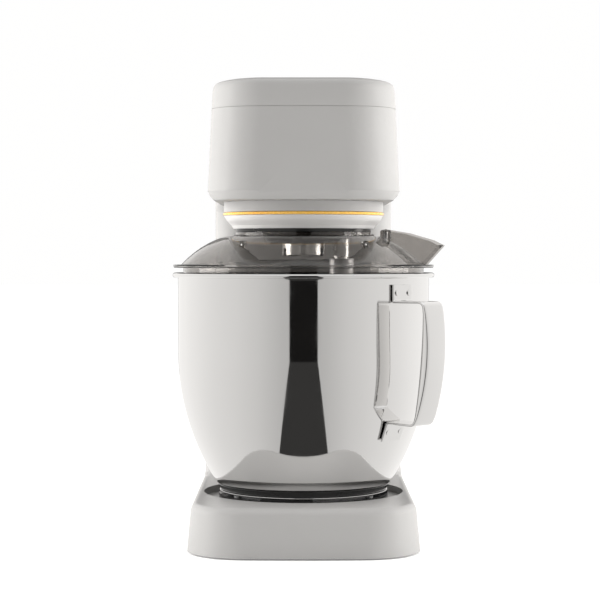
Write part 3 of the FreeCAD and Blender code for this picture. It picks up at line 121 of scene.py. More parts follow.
def paint():
    """Warm light-grey stoving paint: a faint orange peel, with finer grain in its sheen."""
    made = Shader("body_paint_satin", IOR=1.5)
    made.main.inputs["Coat Weight"].default_value = 0.25
    made.main.inputs["Coat Roughness"].default_value = 0.22
    cloud = made.noise(9.0, 2.0)
    made.drive("Base Color", made.tint(cloud, (0.358, 0.353, 0.348), (0.372, 0.367, 0.362)))
    made.drive("Roughness", made.spread(made.noise(650.0, 4.0), 0.36, 0.46))
    peel = made.bump(made.noise(420.0, 2.0), 0.00004, 0.35)
    made.bump(made.noise(2600.0, 2.0), 0.00001, 0.4, under=peel)
    return made.material


def body_plastic(name, shade):
    """The paint's colour moulded in plastic, a touch glossier."""
    made = Shader(name, IOR=1.48)
    colours = [tuple(c * level for c in (1.0, 0.985, 0.97)) for level in (shade * 0.98, shade * 1.02)]
    made.drive("Base Color", made.tint(made.noise(11.0, 2.0), *colours))
    made.drive("Roughness", made.spread(made.noise(900.0, 4.0), 0.34, 0.42))
    made.bump(made.noise(1500.0, 3.0), 0.000012, 0.5)
    return made.material


def amber():
    """Clear amber plastic whose colour varies a little at random."""
    made = Shader("trim_amber_gloss", IOR=1.5)
    made.main.inputs["Coat Weight"].default_value = 0.6
    made.main.inputs["Coat Roughness"].default_value = 0.06
    turn = made.noise(14.0, 2.0)
    made.drive("Base Color", made.tint(turn, (0.86, 0.42, 0.05), (0.93, 0.60, 0.13)))
    made.drive("Roughness", made.spread(made.noise(500.0, 3.0), 0.22, 0.34))
    return made.material


def polished(name, colour, rough, wave=0.35):
    """Polished metal with hair-fine turning lines and a few smudges in its gloss."""
    made = Shader(name, Metallic=1.0, IOR=2.5)
    made.drive("Base Color", made.tint(made.noise(6.0, 3.0), tuple(c * 0.97 for c in colour), colour))
    smudge = made.spread(made.noise(28.0, 5.0), rough * 0.7, rough * 1.7)
    made.drive("Roughness", smudge)
    fine = made.noise(900.0, 2.0, stretch=(0.02, 0.02, 1.0))
    made.bump(fine, 0.000002, wave)
    return made.material


def brushed(name, colour, rough, stretch=(1.0, 1.0, 0.04)):
    """Machined or brushed metal: short scratches one way, and mottled wear."""
    made = Shader(name, Metallic=1.0)
    lines = made.noise(1800.0, 3.0, stretch=stretch)
    made.drive("Base Color", made.tint(made.noise(40.0, 4.0), tuple(c * 0.86 for c in colour), colour))
    made.drive("Roughness", made.spread(lines, rough * 0.75, rough * 1.35))
    made.bump(lines, 0.000012, 0.6)
    return made.material


def cast(name, colour, rough=0.48):
    """Cast metal: a grainy skin with shallow pits."""
    made = Shader(name, Metallic=1.0)
    grain = made.noise(700.0, 5.0)
    made.drive("Base Color", made.tint(made.noise(60.0, 4.0), tuple(c * 0.85 for c in colour), colour))
    made.drive("Roughness", made.spread(grain, rough - 0.1, rough + 0.12))
    made.bump(grain, 0.00005, 0.5)
    return made.material


def moulded(name, colour, rough, grain=900.0, depth=0.00002):
    """Moulded plastic or rubber with a fine spark-eroded grain."""
    made = Shader(name, IOR=1.46)
    light = tuple(min(c * 1.25 + 0.004, 1.0) for c in colour)
    made.drive("Base Color", made.tint(made.noise(30.0, 4.0), colour, light))
    texture = made.noise(grain, 4.0)
    made.drive("Roughness", made.spread(texture, rough - 0.08, rough + 0.08))
    made.bump(texture, depth, 0.6)
    return made.material


def board():
    """Circuit board lacquer with paler tracks under it."""
    made = Shader("board_green_lacquer", IOR=1.5)
    grid = made.add("ShaderNodeTexBrick", Vector=made.coords((60, 60, 60)), Scale=2.0)
    grid.inputs["Color1"].default_value = (0.012, 0.10, 0.04, 1)
    grid.inputs["Color2"].default_value = (0.016, 0.13, 0.05, 1)
    grid.inputs["Mortar"].default_value = (0.03, 0.22, 0.09, 1)
    made.drive("Base Color", grid.outputs["Color"])
    made.drive("Roughness", made.spread(made.noise(300.0), 0.25, 0.4))
    return made.material


def windings():
    """Enamelled copper wire laid in rows."""
    made = Shader("copper_windings_enamel", Metallic=1.0)
    rows = made.add("ShaderNodeTexWave", Vector=made.coords((1, 1, 1)), Scale=260.0, Distortion=1.5)
    rows.bands_direction = "Z"
    made.drive("Base Color", made.tint(rows.outputs["Fac"], (0.36, 0.11, 0.04), (0.72, 0.30, 0.12)))
    made.drive("Roughness", made.spread(rows.outputs["Fac"], 0.22, 0.42))
    made.bump(rows.outputs["Fac"], 0.0002, 0.8)
    return made.material


def smoked(name, colour, rough=0.012):
    """Clear smoky plastic: each face dims what is behind it, with faint haze from washing."""
    made = Shader(name, IOR=1.46)
    made.main.inputs["Transmission Weight"].default_value = 1.0
    haze = made.noise(45.0, 5.0)
    made.drive("Base Color", made.tint(haze, colour, tuple(min(c * 1.06, 1.0) for c in colour)))
    made.drive("Roughness", made.spread(haze, rough * 0.5, rough * 1.8))
    return made.material


STEEL = (0.86, 0.855, 0.85)
LOOKS = {
    "body_paint": paint(),
    "body_plastic": body_plastic("body_plastic_satin", 0.39),
    "trim_amber": amber(),
    "polished_steel": polished("polished_steel_mirror", STEEL, 0.045),
    "bright_steel": brushed("bright_steel_machined", (0.72, 0.72, 0.72), 0.22),
    "cast_aluminium": cast("cast_aluminium_skin", (0.74, 0.74, 0.75), 0.40),
    "carrier_grey": cast("carrier_grey_enamel", (0.15, 0.135, 0.12), 0.42),
    "bronze": brushed("bronze_turned", (0.66, 0.42, 0.18), 0.30),
    "copper_windings": windings(),
    "rubber_black": moulded("rubber_black_matte", (0.018, 0.018, 0.018), 0.72, 500.0, 0.00006),
    "plastic_black": moulded("plastic_black_gloss", (0.012, 0.012, 0.012), 0.18, 1200.0, 0.000006),
    "plastic_grey": moulded("plastic_grey_grained", (0.20, 0.195, 0.19), 0.55, 700.0, 0.00005),
    "board_green": board(),
    "smoked_clear": smoked("smoked_clear_plastic", (0.54, 0.525, 0.51)),
}


# Paler copy of the body plastic for the hub skirt: painted light standing in for the bounce light from
# below that brightens it.
SKIRT_PAINTED_LIGHT_LOOK = body_plastic("body_plastic_painted_bounce_light", 0.58)
SATIN_STEEL = polished("polished_steel_satin", STEEL, 0.2)


# ---------------------------------------------------------------- mesh making

def smooth_group():
    """A node group that marks edges over an angle as sharp and the rest as smooth."""
    group = bpy.data.node_groups.new("smooth_by_angle", "GeometryNodeTree")
    group.interface.new_socket("Geometry", in_out="INPUT", socket_type="NodeSocketGeometry")
    group.interface.new_socket("Geometry", in_out="OUTPUT", socket_type="NodeSocketGeometry")
    start, end = group.nodes.new("NodeGroupInput"), group.nodes.new("NodeGroupOutput")
    faces, edges = (group.nodes.new("GeometryNodeSetShadeSmooth") for _ in range(2))
    faces.domain, edges.domain = "FACE", "EDGE"
    angle = group.nodes.new("GeometryNodeInputMeshEdgeAngle")
    flat = group.nodes.new("FunctionNodeCompare")
    flat.operation = "LESS_THAN"
    flat.inputs[1].default_value = math.radians(28)
    group.links.new(angle.outputs[0], flat.inputs[0])
    group.links.new(flat.outputs[0], edges.inputs["Shade Smooth"])
    group.links.new(start.outputs[0], faces.inputs[0])
    group.links.new(faces.outputs[0], edges.inputs[0])
    group.links.new(edges.outputs[0], end.inputs[0])
    return group


SMOOTH = smooth_group()


def soften(thing, bevel=0.0, segments=2):
    """Joins a CAD mesh's faces, rounds its sharp edges a little and shades it by area."""
    weld = thing.modifiers.new("weld", "WELD")
    weld.merge_threshold = 0.000002
    if bevel:
        edge = thing.modifiers.new("edge", "BEVEL")
        edge.width = bevel * MM
        edge.segments = segments
        edge.limit_method = "ANGLE"
        edge.angle_limit = math.radians(38)
        edge.miter_outer = "MITER_ARC"
    smooth = thing.modifiers.new("smooth", "NODES")
    smooth.node_group = SMOOTH
    normals = thing.modifiers.new("normals", "WEIGHTED_NORMAL")
    normals.keep_sharp = True


def piece(name, points, faces, body, slot, stands_for=(), sharp=35):
    """A named mesh piece in its material, riding on a body. Points are already in metres."""
    data = bpy.data.meshes.new(name)
    data.from_pydata([tuple(p) for p in points], [], faces)
    data.validate()
    work = bmesh.new()
    work.from_mesh(data)
    bmesh.ops.recalc_face_normals(work, faces=work.faces)
    work.to_mesh(data)
    work.free()
    data.shade_smooth()
    data.set_sharp_from_angle(angle=math.radians(sharp))
    made = bpy.data.objects.new(name, data)
    bpy.context.scene.collection.objects.link(made)
    made.data.materials.append(LOOKS[slot])
    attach(made, body)
    if stands_for:
        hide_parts(*stands_for)
    return made


def corner_line(points, share=0.5):
    """Points (x, z, radius) joined by straight lines, with each corner that has a radius rounded.

    A corner may use up to the given share of each line beside it."""
    made = []
    count = len(points)
    for index, (x, z, *rest) in enumerate(points):
        radius = rest[0] if rest else 0.0
        steps = rest[1] if len(rest) > 1 else 6
        if not radius or index in (0, count - 1):
            made.append((x, z))
            continue
        here = Vector((x, z))
        before = (Vector(points[index - 1][:2]) - here)
        after = (Vector(points[index + 1][:2]) - here)
        a, b = before.normalized(), after.normalized()
        half = math.acos(max(-1.0, min(1.0, a.dot(b)))) / 2
        reach = min(radius / math.tan(half), before.length * share, after.length * share)
        true_radius = reach * math.tan(half)
        centre = here + (a + b).normalized() * (true_radius / math.sin(half))
        start, end = here + a * reach - centre, here + b * reach - centre
        turn = start.angle_signed(end)
        for step in range(steps + 1):
            angle = -turn * step / steps
            x2 = start.x * math.cos(angle) - start.y * math.sin(angle)
            z2 = start.x * math.sin(angle) + start.y * math.cos(angle)
            made.append((centre.x + x2, centre.y + z2))
    return made


def arc_line(start, end, sag, steps):
    """Points along an arc from start to end (not repeating start) that bows by sag to its left."""
    a, b = Vector(start), Vector(end)
    chord = b - a
    if abs(sag) < 1e-6:
        return [tuple(a.lerp(b, (i + 1) / steps)) for i in range(steps)]
    radius = (chord.length ** 2 / 4 + sag ** 2) / (2 * sag)
    middle = (a + b) / 2
    normal = Vector((-chord.y, chord.x)).normalized()
    centre = middle + normal * (sag - radius)
    first, last = a - centre, b - centre
    turn = first.angle_signed(last)
    made = []
    for step in range(1, steps + 1):
        angle = -turn * step / steps
        made.append((centre.x + first.x * math.cos(angle) - first.y * math.sin(angle),
                     centre.y + first.x * math.sin(angle) + first.y * math.cos(angle)))
    return made


def lathe(name, profile, body, slot, stands_for=(), steps=192, closed=True, centre=(0.0, 0.0), sharp=35):
    """A profile of (radius, z) turned about an upright axis. Radii of nothing become single points."""
    points, rows = [], []
    for radius, z in profile:
        if radius < 1e-6:
            points.append(place(centre[0], centre[1], z))
            rows.append([len(points) - 1] * steps)
            continue
        row = []
        for step in range(steps):
            angle = 2 * math.pi * step / steps
            x, y = radius * math.cos(angle), radius * math.sin(angle)
            points.append(place(centre[0] + x, centre[1] + y, z))
            row.append(len(points) - 1)
        rows.append(row)
    faces = join_rows(rows, closed)
    return piece(name, points, faces, body, slot, stands_for, sharp)


def join_rows(rows, closed=False, around=True):
    """Faces between neighbouring rows of point numbers."""
    faces = []
    pairs = list(zip(rows, rows[1:] + rows[:1])) if closed else list(zip(rows, rows[1:]))
    for a, b in pairs:
        count = len(a)
        for i in range(count if around else count - 1):
            j = (i + 1) % count
            loop = []
            for corner in (a[i], a[j], b[j], b[i]):
                if corner not in loop:
                    loop.append(corner)
            if len(loop) > 2:
                faces.append(loop)
    return faces


# ---------------------------------------------------------------- carried-over CAD nodes

SLOTS = {row["node"]: row["material_slot"] for row in frame["record"]["subparts"]}
BEVELS = {
    "bottom_plate": 0.8, "rubber_feet": 1.0, "rear_cover": 0.8, "cord_gland": 0.5, "speed_dial": 0.6,
    "release_button": 0.8, "planet_carrier": 0.6, "central_collar": 0.5, "tool_shaft": 0.4,
    "splash_guard": 0.35, "guard_chute": 0.5, "guard_mount_ring": 0.3,
    "flat_beater": 1.0, "bowl_seat": 0.4, "motor_can": 0.6, "gearbox_frame": 0.5, "hinge_bracket": 0.5,
    "drive_pulley": 0.3,
}
for node_name, thing in NODES.items():
    thing.data.materials.clear()
    thing.data.materials.append(LOOKS[SLOTS[node_name]])
    soften(thing, BEVELS.get(node_name, 0.0))
for node_name in ("central_collar", "tool_shaft"):
    NODES[node_name].data.materials[0] = SATIN_STEEL


# ---------------------------------------------------------------- bowl

def bowl():
    """The polished bowl: floor, belly arc, straight wall and a rolled bead at the lip."""
    radius, wall, foot, floor, belly, rim = 112.6, 0.8, 78.0, 50.8, 167.6, 239.0
    plate = 60.0
    bend = ((radius - foot) ** 2 + (belly - floor) ** 2) / (2 * (radius - foot))
    bead = 2.1
    centre_r, centre_z = 115.4, rim - bead - 0.1

    def belly_line(inset, steps=56):
        made = []
        start = math.asin((belly - floor - 3.0) / bend)
        for step in range(steps + 1):
            angle = start * (1 - step / steps)
            reach = bend - inset
            made.append((radius - bend + reach * math.cos(angle), belly - reach * math.sin(angle)))
        return made

    outside = belly_line(0.0)
    inside = belly_line(wall)
    profile = [(0.0, floor + 0.1), (plate, floor + 0.1)]
    profile += corner_line([(plate, floor), (outside[0][0] - 2.2, floor, 3.0, 8), outside[0]])[1:-1]
    profile += outside
    profile += [(radius, belly + share * (rim - 7 - belly)) for share in (0.25, 0.5, 0.75, 1.0)]
    profile += corner_line([(radius, rim - 7), (radius + 0.1, rim - 4.2, 2.0), (114.2, rim - 3.6)])[1:]
    for step in range(15):
        angle = math.radians(-120 + step * 210 / 14)
        profile.append((centre_r + bead * math.cos(angle), centre_z + bead * math.sin(angle)))
    profile += corner_line([(centre_r, rim - 0.1), (radius - wall + 0.6, rim - 0.5, 2.6, 8),
                            (radius - wall, rim - 6)])[1:]
    profile += [(radius - wall, belly + share * (rim - 7 - belly)) for share in (0.75, 0.5, 0.25)]
    profile += inside[::-1]
    profile += corner_line([inside[0], (inside[0][0] - 2.0, floor + wall + 0.1, 4.0, 8),
                            (plate, floor + wall)])[1:-1]
    profile += [(plate, floor + wall + 0.1), (0.0, floor + wall + 0.1)]
    lathe("bowl_mirror_shell", profile, "bowl", "polished_steel", ["bowl_shell"], steps=288, closed=False)


def bowl_foot():
    """The black foot ring with soft edges, and the bright band under it."""
    ring = corner_line([(57.9, 50.6), (77.5, 50.6, 0.8), (74.3, 44.9, 1.0), (57.9, 44.9)])
    lathe("bowl_foot_ring_soft", ring, "bowl", "plastic_black", ["bowl_foot_ring"])
    band = corner_line([(57.9, 44.72), (75.5, 44.72, 0.3, 3), (75.5, 43.85, 0.3, 3), (57.9, 43.85)])
    lathe("bowl_foot_band_soft", band, "bowl", "polished_steel", ["bowl_foot_band"])


def handle():
    """A strap whose grip swells to a lens: an outer face bowed more than the inner one."""
    azimuth = math.radians(48)
    out = Vector((math.sin(azimuth), -math.cos(azimuth)))
    along = Vector((math.cos(azimuth), math.sin(azimuth)))
    face, top, low_z, t = 113.0, 213.2, 110.0, 2.2
    reach, foot = 146.3, 136.6
    tab_z = low_z - 8
    bowl_radius, belly, bend = 112.6, 167.6, 214.4
    drop = belly - tab_z
    tab = bowl_radius - bend + math.sqrt(bend ** 2 - drop ** 2) + 0.5
    slope = drop / math.sqrt(bend ** 2 - drop ** 2)

    def side(gap, sag):
        """One face of the strap: gap is how far it stands out from the bowl's side of it."""
        upper = (reach + gap, top + gap - 2.0)
        lower = (foot + gap * 0.9, low_z + 1.0 - gap * 0.7)
        grip = [upper] + arc_line(upper, lower, sag, 30)
        round_out = 1.6 + gap
        line = [(face + gap, top + 16.0), (face + gap, top + gap, 1.6, 6)]
        line += [(reach - 1.0 + gap, top + gap, 2.4 + round_out, 8)]
        line += [(p[0], p[1]) for p in grip[2:-2]]
        line += [(foot - 1.0 + gap * 0.6, low_z - gap + 0.6, 2.6 + round_out, 8)]
        line += [(tab + 8 * slope + gap + 1.0, low_z + 1.4 - gap, 1.6, 6)]
        line += [(tab - 8 * slope + gap, low_z - 16.0)]
        return corner_line(line)

    outer, inner = side(t, 8.0), side(0.0, 1.4)
    half, count = 13.0, 28
    points, rows = [], []
    for (u1, z1), (u0, z0) in zip(outer, inner):
        centre, arm = Vector(((u1 + u0) / 2, (z1 + z0) / 2)), Vector(((u1 - u0) / 2, (z1 - z0) / 2))
        row = []
        for step in range(count):
            angle = 2 * math.pi * step / count
            c, s = math.cos(angle), math.sin(angle)
            width = math.copysign(abs(c) ** 0.22, c) * half
            depth = math.copysign(abs(s) ** 0.55, s)
            spot = centre + arm * depth
            flat = out * spot.x + along * width
            points.append(place(flat.x, flat.y, spot.y))
            row.append(len(points) - 1)
        rows.append(row)
    faces = join_rows(rows) + [rows[0][::-1], rows[-1]]
    piece("bowl_strap_handle", points, faces, "bowl", "polished_steel", ["bowl_handle"], sharp=60)


bowl()
bowl_foot()
handle()


# ---------------------------------------------------------------- head cover

def head_outline(inset, z):
    """The head's outline at a height, drawn in from its leaning sides."""
    chin_top, lean_angle, half_width, rear_spread, reach = 309.5, 2.6, 82.9, 2.4, 105.0
    drawn_in = (z - chin_top) * math.tan(math.radians(lean_angle)) + inset
    front_half, rear_half = half_width - drawn_in, half_width + rear_spread - drawn_in
    front, rear = -(reach - drawn_in), 201.0 - inset
    front_round, rear_round = 46.0 - inset, max(32.0 - inset, 4.0)
    line = corner_line([(0.0, front), (front_half, front, front_round, 16),
                        (rear_half, rear, rear_round, 12), (-rear_half, rear, rear_round, 12),
                        (-front_half, front, front_round, 16), (0.0, front)], share=0.98)
    return [place(x, y, z) for x, y in line[:-1]]


def head_cover():
    """The crowned top shell, with a small lip that closes the seam below it."""
    crown = [(0.0, 381.4), (0.0, 388.0), (0.0, 394.0), (0.12, 396.5), (0.4, 398.6), (1.0, 400.6),
             (1.9, 402.0), (3.4, 403.2), (5.8, 404.2), (9.6, 405.1), (14.0, 405.9), (19.0, 406.55),
             (25.0, 407.0), (32.0, 407.3), (41.0, 407.45)]
    wall = 3.0
    outer = [(0.45, 380.52), (0.45, 380.9), (0.3, 380.92), (0.08, 381.05)] + crown
    inner = [(inset + wall, z - wall) for inset, z in crown[::-1] if z > 390.0] + [(wall, 380.52)]
    points, rows = [], []
    for inset, z in outer + inner:
        ring = head_outline(inset, z)
        rows.append(list(range(len(points), len(points) + len(ring))))
        points += ring
    out, within = rows[:len(outer)], rows[len(outer):]
    faces = join_rows(out) + join_rows(within) + join_rows([within[-1], out[0]])
    faces += [out[-1], within[0]]
    piece("head_cover_crowned", points, faces, "head", "body_paint", ["head_top_cover"])


head_cover()


# ---------------------------------------------------------------- guard fittings

def guard_fittings():
    """A black ring in the guard's throat, dark as painted shade for the carrier edge in shadow behind it;
    its clear lip; a thin black ring under its flange as painted shade where the flange meets the bowl; and
    two small studs.
    """
    low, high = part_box("guard_mount_ring")
    lip = (high.x - low.x) / 2 / MM
    wall = lip - 2.8
    inside = wall - 2.2
    # The black throat ring reaches down to 275 mm as painted shade: it stands in for the shaded edge of the
    # carrier seen through the throat.
    dark = corner_line([(inside, 275.0), (wall, 275.0, 0.4, 4), (wall, 282.0, 0.4, 4), (inside, 282.0)])
    lathe("guard_throat_ring_painted_shade", dark, "guard", "plastic_black", ["guard_mount_ring"])
    clear = corner_line([(inside, 268.8), (wall, 268.8, 0.4, 4), (wall, 271.8, 0.3, 3),
                         (lip, 271.8, 0.4, 4), (lip, 273.2, 0.4, 4), (wall, 273.2), (wall, 274.9),
                         (inside, 274.9)])
    lathe("guard_throat_lip", clear, "guard", "smoked_clear")
    # A thin black ring under the flange: painted shade for the dark line where the flange sits over the
    # bowl's lip.
    flange_shade_ring = corner_line([(108.3, 243.5), (116.4, 243.5, 0.3, 3), (116.4, 244.12), (108.3, 244.12)])
    lathe("guard_flange_shade_ring", flange_shade_ring, "guard", "rubber_black")
    for side, spot in (("left", (-52.9, -69.1)), ("right", (52.9, -69.1))):
        stem = corner_line([(0.0, 259.6), (2.4, 259.6, 0.8, 4), (2.4, 266.0), (3.5, 266.1, 0.4, 3),
                            (3.5, 266.9, 0.6, 4), (0.0, 267.5)])
        replaced = ["guard_studs"] if side == "left" else []
        lathe("guard_stud_" + side, stem, "guard", "smoked_clear", replaced, steps=32, closed=False,
              centre=spot)
        pin = corner_line([(0.0, 261.0), (1.0, 261.0, 0.3, 3), (1.0, 264.6, 0.3, 3), (0.0, 264.6)])
        lathe("guard_stud_pin_" + side, pin, "guard", "bright_steel", steps=24, closed=False, centre=spot)


def rounded_block(name, middle, size, edge, body, slot):
    """A box about a middle point with all its edges rounded."""
    work = bmesh.new()
    bmesh.ops.create_cube(work, size=1.0)
    for corner in work.verts:
        corner.co = Vector([corner.co[i] * size[i] for i in range(3)])
    bmesh.ops.bevel(work, geom=work.edges[:], offset=edge, segments=4, profile=0.5, affect="EDGES")
    points = [place(*(Vector(middle) + corner.co)) for corner in work.verts]
    faces = [[corner.index for corner in face.verts] for face in work.faces]
    work.free()
    return piece(name, points, faces, body, slot, sharp=50)


guard_fittings()
rounded_block("guard_latch_tab", (72.1, -38.6, 271.3), (9.6, 7.4, 10.6), 1.6, "guard", "smoked_clear")
rounded_block("guard_latch_spring", (72.1, -38.6, 271.0), (3.2, 2.2, 8.2), 0.5, "guard", "bright_steel")


# ---------------------------------------------------------------- speed dial

def speed_dial():
    """A knob turned about a sideways axis, with shallow flutes round its grip and a raised pointer."""
    low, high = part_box("speed_dial")
    middle_y, middle_z = (low.y + high.y) / 2, (low.z + high.z) / 2
    face, back = high.x / MM - 0.8, high.x / MM - 13.4
    line = [(back - 18.0, 0.0, 0.0), (back - 18.0, 3.0, 0.0), (back, 3.0, 0.0), (back, 19.6, 0.0),
            (back + 0.4, 20.0, 0.0), (back + 1.6, 20.0, 0.0), (back + 2.4, 19.6, 0.75),
            (back + 9.8, 18.2, 0.75), (back + 10.8, 17.5, 0.2), (face - 0.7, 16.5, 0.0),
            (face, 15.4, 0.0), (face, 13.6, 0.0), (face - 0.5, 12.4, 0.0), (face - 0.8, 0.0, 0.0)]
    steps, flutes = 192, 24
    points, rows = [], []
    for x, radius, flute in line:
        row = []
        for step in range(steps if radius else 1):
            angle = 2 * math.pi * step / steps
            r = radius - flute * (0.5 - 0.5 * math.cos(flutes * angle)) ** 2
            across, up = r * MM * math.sin(angle), r * MM * math.cos(angle)
            points.append(Vector((x * MM, middle_y + across, middle_z + up)))
            row.append(len(points) - 1)
        rows.append(row * (1 if radius else steps))
    piece("speed_dial_fluted", points, join_rows(rows), "dial", SLOTS["speed_dial"], ["speed_dial"],
          sharp=30)
    spot = (face - 0.2 - AXIS.x / MM, (middle_y - AXIS.y) / MM, middle_z / MM + 8.4)
    rounded_block("speed_dial_mark", spot, (1.2, 2.2, 9.5), 0.35, "dial", "polished_steel")


speed_dial()


# ---------------------------------------------------------------- release spring

def release_spring():
    """The button's coil spring, wound inside the CAD spring's box."""
    low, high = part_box("release_spring")
    wire, around, turns, per_turn = 0.6 * MM, 12, 6, 32
    middle_y, middle_z = (low.y + high.y) / 2, (low.z + high.z) / 2
    coil = (high.z - low.z) / 2 - wire
    start, length = low.x + wire, high.x - low.x - 2 * wire
    points, rows = [], []
    for step in range(turns * per_turn + 1):
        angle = 2 * math.pi * step / per_turn
        out = Vector((0.0, math.cos(angle), math.sin(angle)))
        centre = Vector((start + length * step / (turns * per_turn), middle_y, middle_z)) + out * coil
        row = []
        for part in range(around):
            turn = 2 * math.pi * part / around
            points.append(centre + (out * math.cos(turn) + Vector((1.0, 0.0, 0.0)) * math.sin(turn)) * wire)
            row.append(len(points) - 1)
        rows.append(row)
    faces = join_rows(rows) + [rows[0][::-1], rows[-1]]
    made = piece("release_spring_coil", points, faces, "head", "bright_steel", ["release_spring"], sharp=60)
    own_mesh(made)


release_spring()


# ---------------------------------------------------------------- hub

def hub():
    """The collar under the head, the thin amber ring and the skirt that narrows below it; the skirt wears a
    paler copy of the body plastic, painted light for the bounce from below.
    """
    bore, radius = 62.0, 71.6
    collar = corner_line([(bore, 301.9), (radius, 301.9), (radius, 292.7, 0.5, 4), (bore, 292.7)])
    lathe("hub_collar_soft", collar, "head", "body_plastic", ["hub_collar"])
    trim = corner_line([(bore, 292.5), (radius + 0.6, 292.5, 0.9, 6), (radius + 0.6, 290.0, 0.9, 6),
                        (bore, 290.0)])
    lathe("hub_trim_ring_soft", trim, "head", "trim_amber", ["trim_ring"])
    skirt = corner_line([(bore, 289.9), (radius - 0.1, 289.9, 0.4, 4), (68.9, 285.3, 9.0, 10),
                         (64.6, 281.0, 3.0, 8), (63.0, 278.0, 0.6, 5), (61.6, 278.0), (61.6, 284.5)])
    made = lathe("hub_skirt_soft", skirt, "head", "body_plastic", ["hub_skirt"])
    # The skirt's paler copy of the body plastic is painted bounce light.
    made.data.materials[0] = SKIRT_PAINTED_LIGHT_LOOK


hub()


# ---------------------------------------------------------------- studio

def stage_mesh(name, points, faces, material):
    data = bpy.data.meshes.new(name)
    data.from_pydata(points, [], faces)
    data.materials.append(material)
    made = bpy.data.objects.new(name, data)
    bpy.context.scene.collection.objects.link(made)
    return made


def glow(name, colour, strength):
    """An emission material and its tree, so that its strength can vary over it."""
    look = bpy.data.materials.new(name)
    look.use_nodes = True
    tree = look.node_tree
    tree.nodes.clear()
    lamp = tree.nodes.new("ShaderNodeEmission")
    lamp.inputs["Color"].default_value = colour + (1.0,)
    lamp.inputs["Strength"].default_value = strength
    end = tree.nodes.new("ShaderNodeOutputMaterial")
    tree.links.new(lamp.outputs[0], end.inputs[0])
    return look, tree, lamp


def surround():
    """A pale wall and foreground round the mixer, dim in front and brighter towards the rear.

    Only reflections and bounced light see it, so the camera's own view stays plain."""
    look, tree, lamp = glow("surround_glow", (1.0, 0.985, 0.965), 1.0)
    coords = tree.nodes.new("ShaderNodeTexCoord")
    turn = tree.nodes.new("ShaderNodeSeparateXYZ")
    tree.links.new(coords.outputs["Object"], turn.inputs[0])
    side = tree.nodes.new("ShaderNodeMath")
    side.operation = "ABSOLUTE"
    tree.links.new(turn.outputs["X"], side.inputs[0])
    front = tree.nodes.new("ShaderNodeMath")
    front.operation = "MULTIPLY"
    front.inputs[1].default_value = -1.0
    tree.links.new(turn.outputs["Y"], front.inputs[0])
    angle = tree.nodes.new("ShaderNodeMath")
    angle.operation = "ARCTAN2"
    tree.links.new(side.outputs[0], angle.inputs[0])
    tree.links.new(front.outputs[0], angle.inputs[1])
    share = tree.nodes.new("ShaderNodeMath")
    share.operation = "DIVIDE"
    share.inputs[1].default_value = math.pi
    tree.links.new(angle.outputs[0], share.inputs[0])
    ramp = tree.nodes.new("ShaderNodeValToRGB")
    levels = ((0.0, 0.49), (0.10, 0.53), (0.22, 0.66), (0.34, 0.75), (0.47, 0.82), (0.62, 0.93),
              (0.75, 1.0))
    while len(ramp.color_ramp.elements) < len(levels):
        ramp.color_ramp.elements.new(0.5)
    for stop, (at, level) in zip(ramp.color_ramp.elements, levels):
        stop.position = at
        stop.color = (level, level, level, 1.0)
    tree.links.new(share.outputs[0], ramp.inputs[0])
    tree.links.new(ramp.outputs[0], lamp.inputs["Strength"])

    steps, far, tall = 96, 2.1, 2.4
    circle = [(math.sin(2 * math.pi * i / steps), -math.cos(2 * math.pi * i / steps)) for i in range(steps)]
    wall = [(x * far, y * far, z) for z in (0.0, tall) for x, y in circle]
    faces = [(i, (i + 1) % steps, steps + (i + 1) % steps, steps + i) for i in range(steps)]
    made = stage_mesh("surround_wall", wall, faces, look)
    made.location = AXIS
    made.visible_camera = False
    made.visible_shadow = False
    ground = [(x * r, y * r, 0.0005) for r in (0.02, far) for x, y in circle]
    made = stage_mesh("surround_foreground", ground, faces, look)
    made.location = AXIS
    made.visible_camera = made.visible_diffuse = made.visible_shadow = False


def dark_gap():
    """The unlit gap behind the camera, and its run across the table: the bowl's dark stripe."""
    x, y, slit, tall = AXIS.x, AXIS.y, 0.44, 1.1
    near, far, near_half = -0.13, -2.03, 0.055
    look = glow("gap_dark", (1.0, 0.95, 0.92), 0.009)[0]
    path = glow("gap_path", (1.0, 0.97, 0.94), 0.038)[0]
    wall = stage_mesh("dark_gap_wall", [(x - slit, y + far, 0), (x + slit, y + far, 0),
                                        (x + slit, y + far, tall), (x - slit, y + far, tall)],
                      [(0, 1, 2, 3)], look)
    run = stage_mesh("dark_gap_path", [(x - near_half, y + near, 0.001), (x + near_half, y + near, 0.001),
                                       (x + slit, y + far, 0.001), (x - slit, y + far, 0.001)],
                     [(0, 1, 2, 3)], path)
    for thing in (wall, run):
        thing.visible_camera = thing.visible_shadow = thing.visible_diffuse = False


def dark_edge():
    """A dim stretch of wall far behind the mixer, seen only in mirrors as their thin dark outlines."""
    look = glow("edge_dark", (1.0, 0.98, 0.96), 0.14)[0]
    far, half, steps = 2.08, math.radians(13), 12
    turns = [-half + 2 * half * i / steps for i in range(steps + 1)]
    points = [(far * math.sin(turn), far * math.cos(turn), z) for z in (0.0, 2.4) for turn in turns]
    faces = [(i, i + 1, steps + 2 + i, steps + 1 + i) for i in range(steps)]
    made = stage_mesh("dark_edge_wall", points, faces, look)
    made.location = AXIS
    made.visible_camera = made.visible_shadow = made.visible_diffuse = made.visible_transmission = False


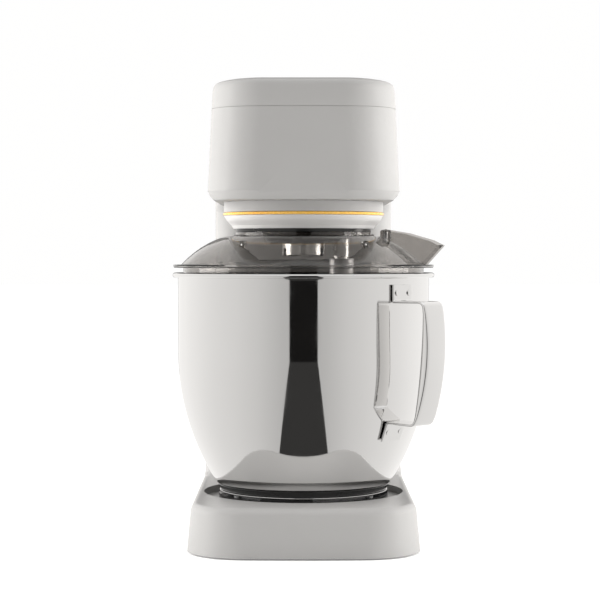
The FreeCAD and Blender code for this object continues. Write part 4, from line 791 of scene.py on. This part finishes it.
def soft_light(name, spot, aim, size, power, colour=(1.0, 0.99, 0.975)):
    """A large area light that mirrors don't show."""
    data = bpy.data.lights.new(name, "AREA")
    data.shape = "RECTANGLE"
    data.size, data.size_y = size
    data.energy = power
    data.color = colour
    made = bpy.data.objects.new(name, data)
    bpy.context.scene.collection.objects.link(made)
    made.location = AXIS + Vector(spot)
    made.rotation_euler = (AXIS + Vector(aim) - made.location).to_track_quat("-Z", "Y").to_euler()
    made.visible_glossy = False
    made.visible_camera = False
    return made


def studio():
    world = bpy.data.worlds.new("studio")
    bpy.context.scene.world = world
    world.use_nodes = True
    backdrop = world.node_tree.nodes["Background"]
    backdrop.inputs["Color"].default_value = (1.0, 0.998, 0.995, 1.0)
    backdrop.inputs["Strength"].default_value = 1.0

    size = 14.0
    pale = Shader("floor_paper", Roughness=0.9)
    pale.drive("Base Color", pale.tint(pale.noise(3.0), (0.90, 0.90, 0.895), (0.92, 0.92, 0.915)))
    pale.main.inputs["Emission Color"].default_value = (1.0, 1.0, 1.0, 1.0)
    pale.main.inputs["Emission Strength"].default_value = 0.16
    pale.main.inputs["Specular IOR Level"].default_value = 0.0
    stage_mesh("floor", [(-size, -size, 0), (size, -size, 0), (size, size, 0), (-size, size, 0)],
               [(0, 1, 2, 3)], pale.material)
    surround()
    dark_gap()
    dark_edge()
    for side in (-1, 1):
        soft_light("side_light_%d" % (side > 0), (side * 1.5, 0.12, 0.55), (0.0, 0.0, 0.22), (1.2, 1.5),
                   40.0)
    soft_light("low_fill", (0.0, -1.1, 0.06), (0.0, 0.0, 0.30), (1.2, 0.3), 1.0)


def camera():
    """Level with the bowl's rim, 1.7 m in front of its axis."""
    data = bpy.data.cameras.new("camera")
    data.sensor_width = 36.0
    data.lens = 113.3
    made = bpy.data.objects.new("camera", data)
    bpy.context.scene.collection.objects.link(made)
    made.location = (AXIS.x - 0.00315, AXIS.y - 1.7, 0.2547)
    made.rotation_euler = (math.radians(90 - 1.365), 0.0, 0.0)
    bpy.context.scene.camera = made


studio()
camera()
scene = bpy.context.scene
scene.view_settings.view_transform = "Standard"
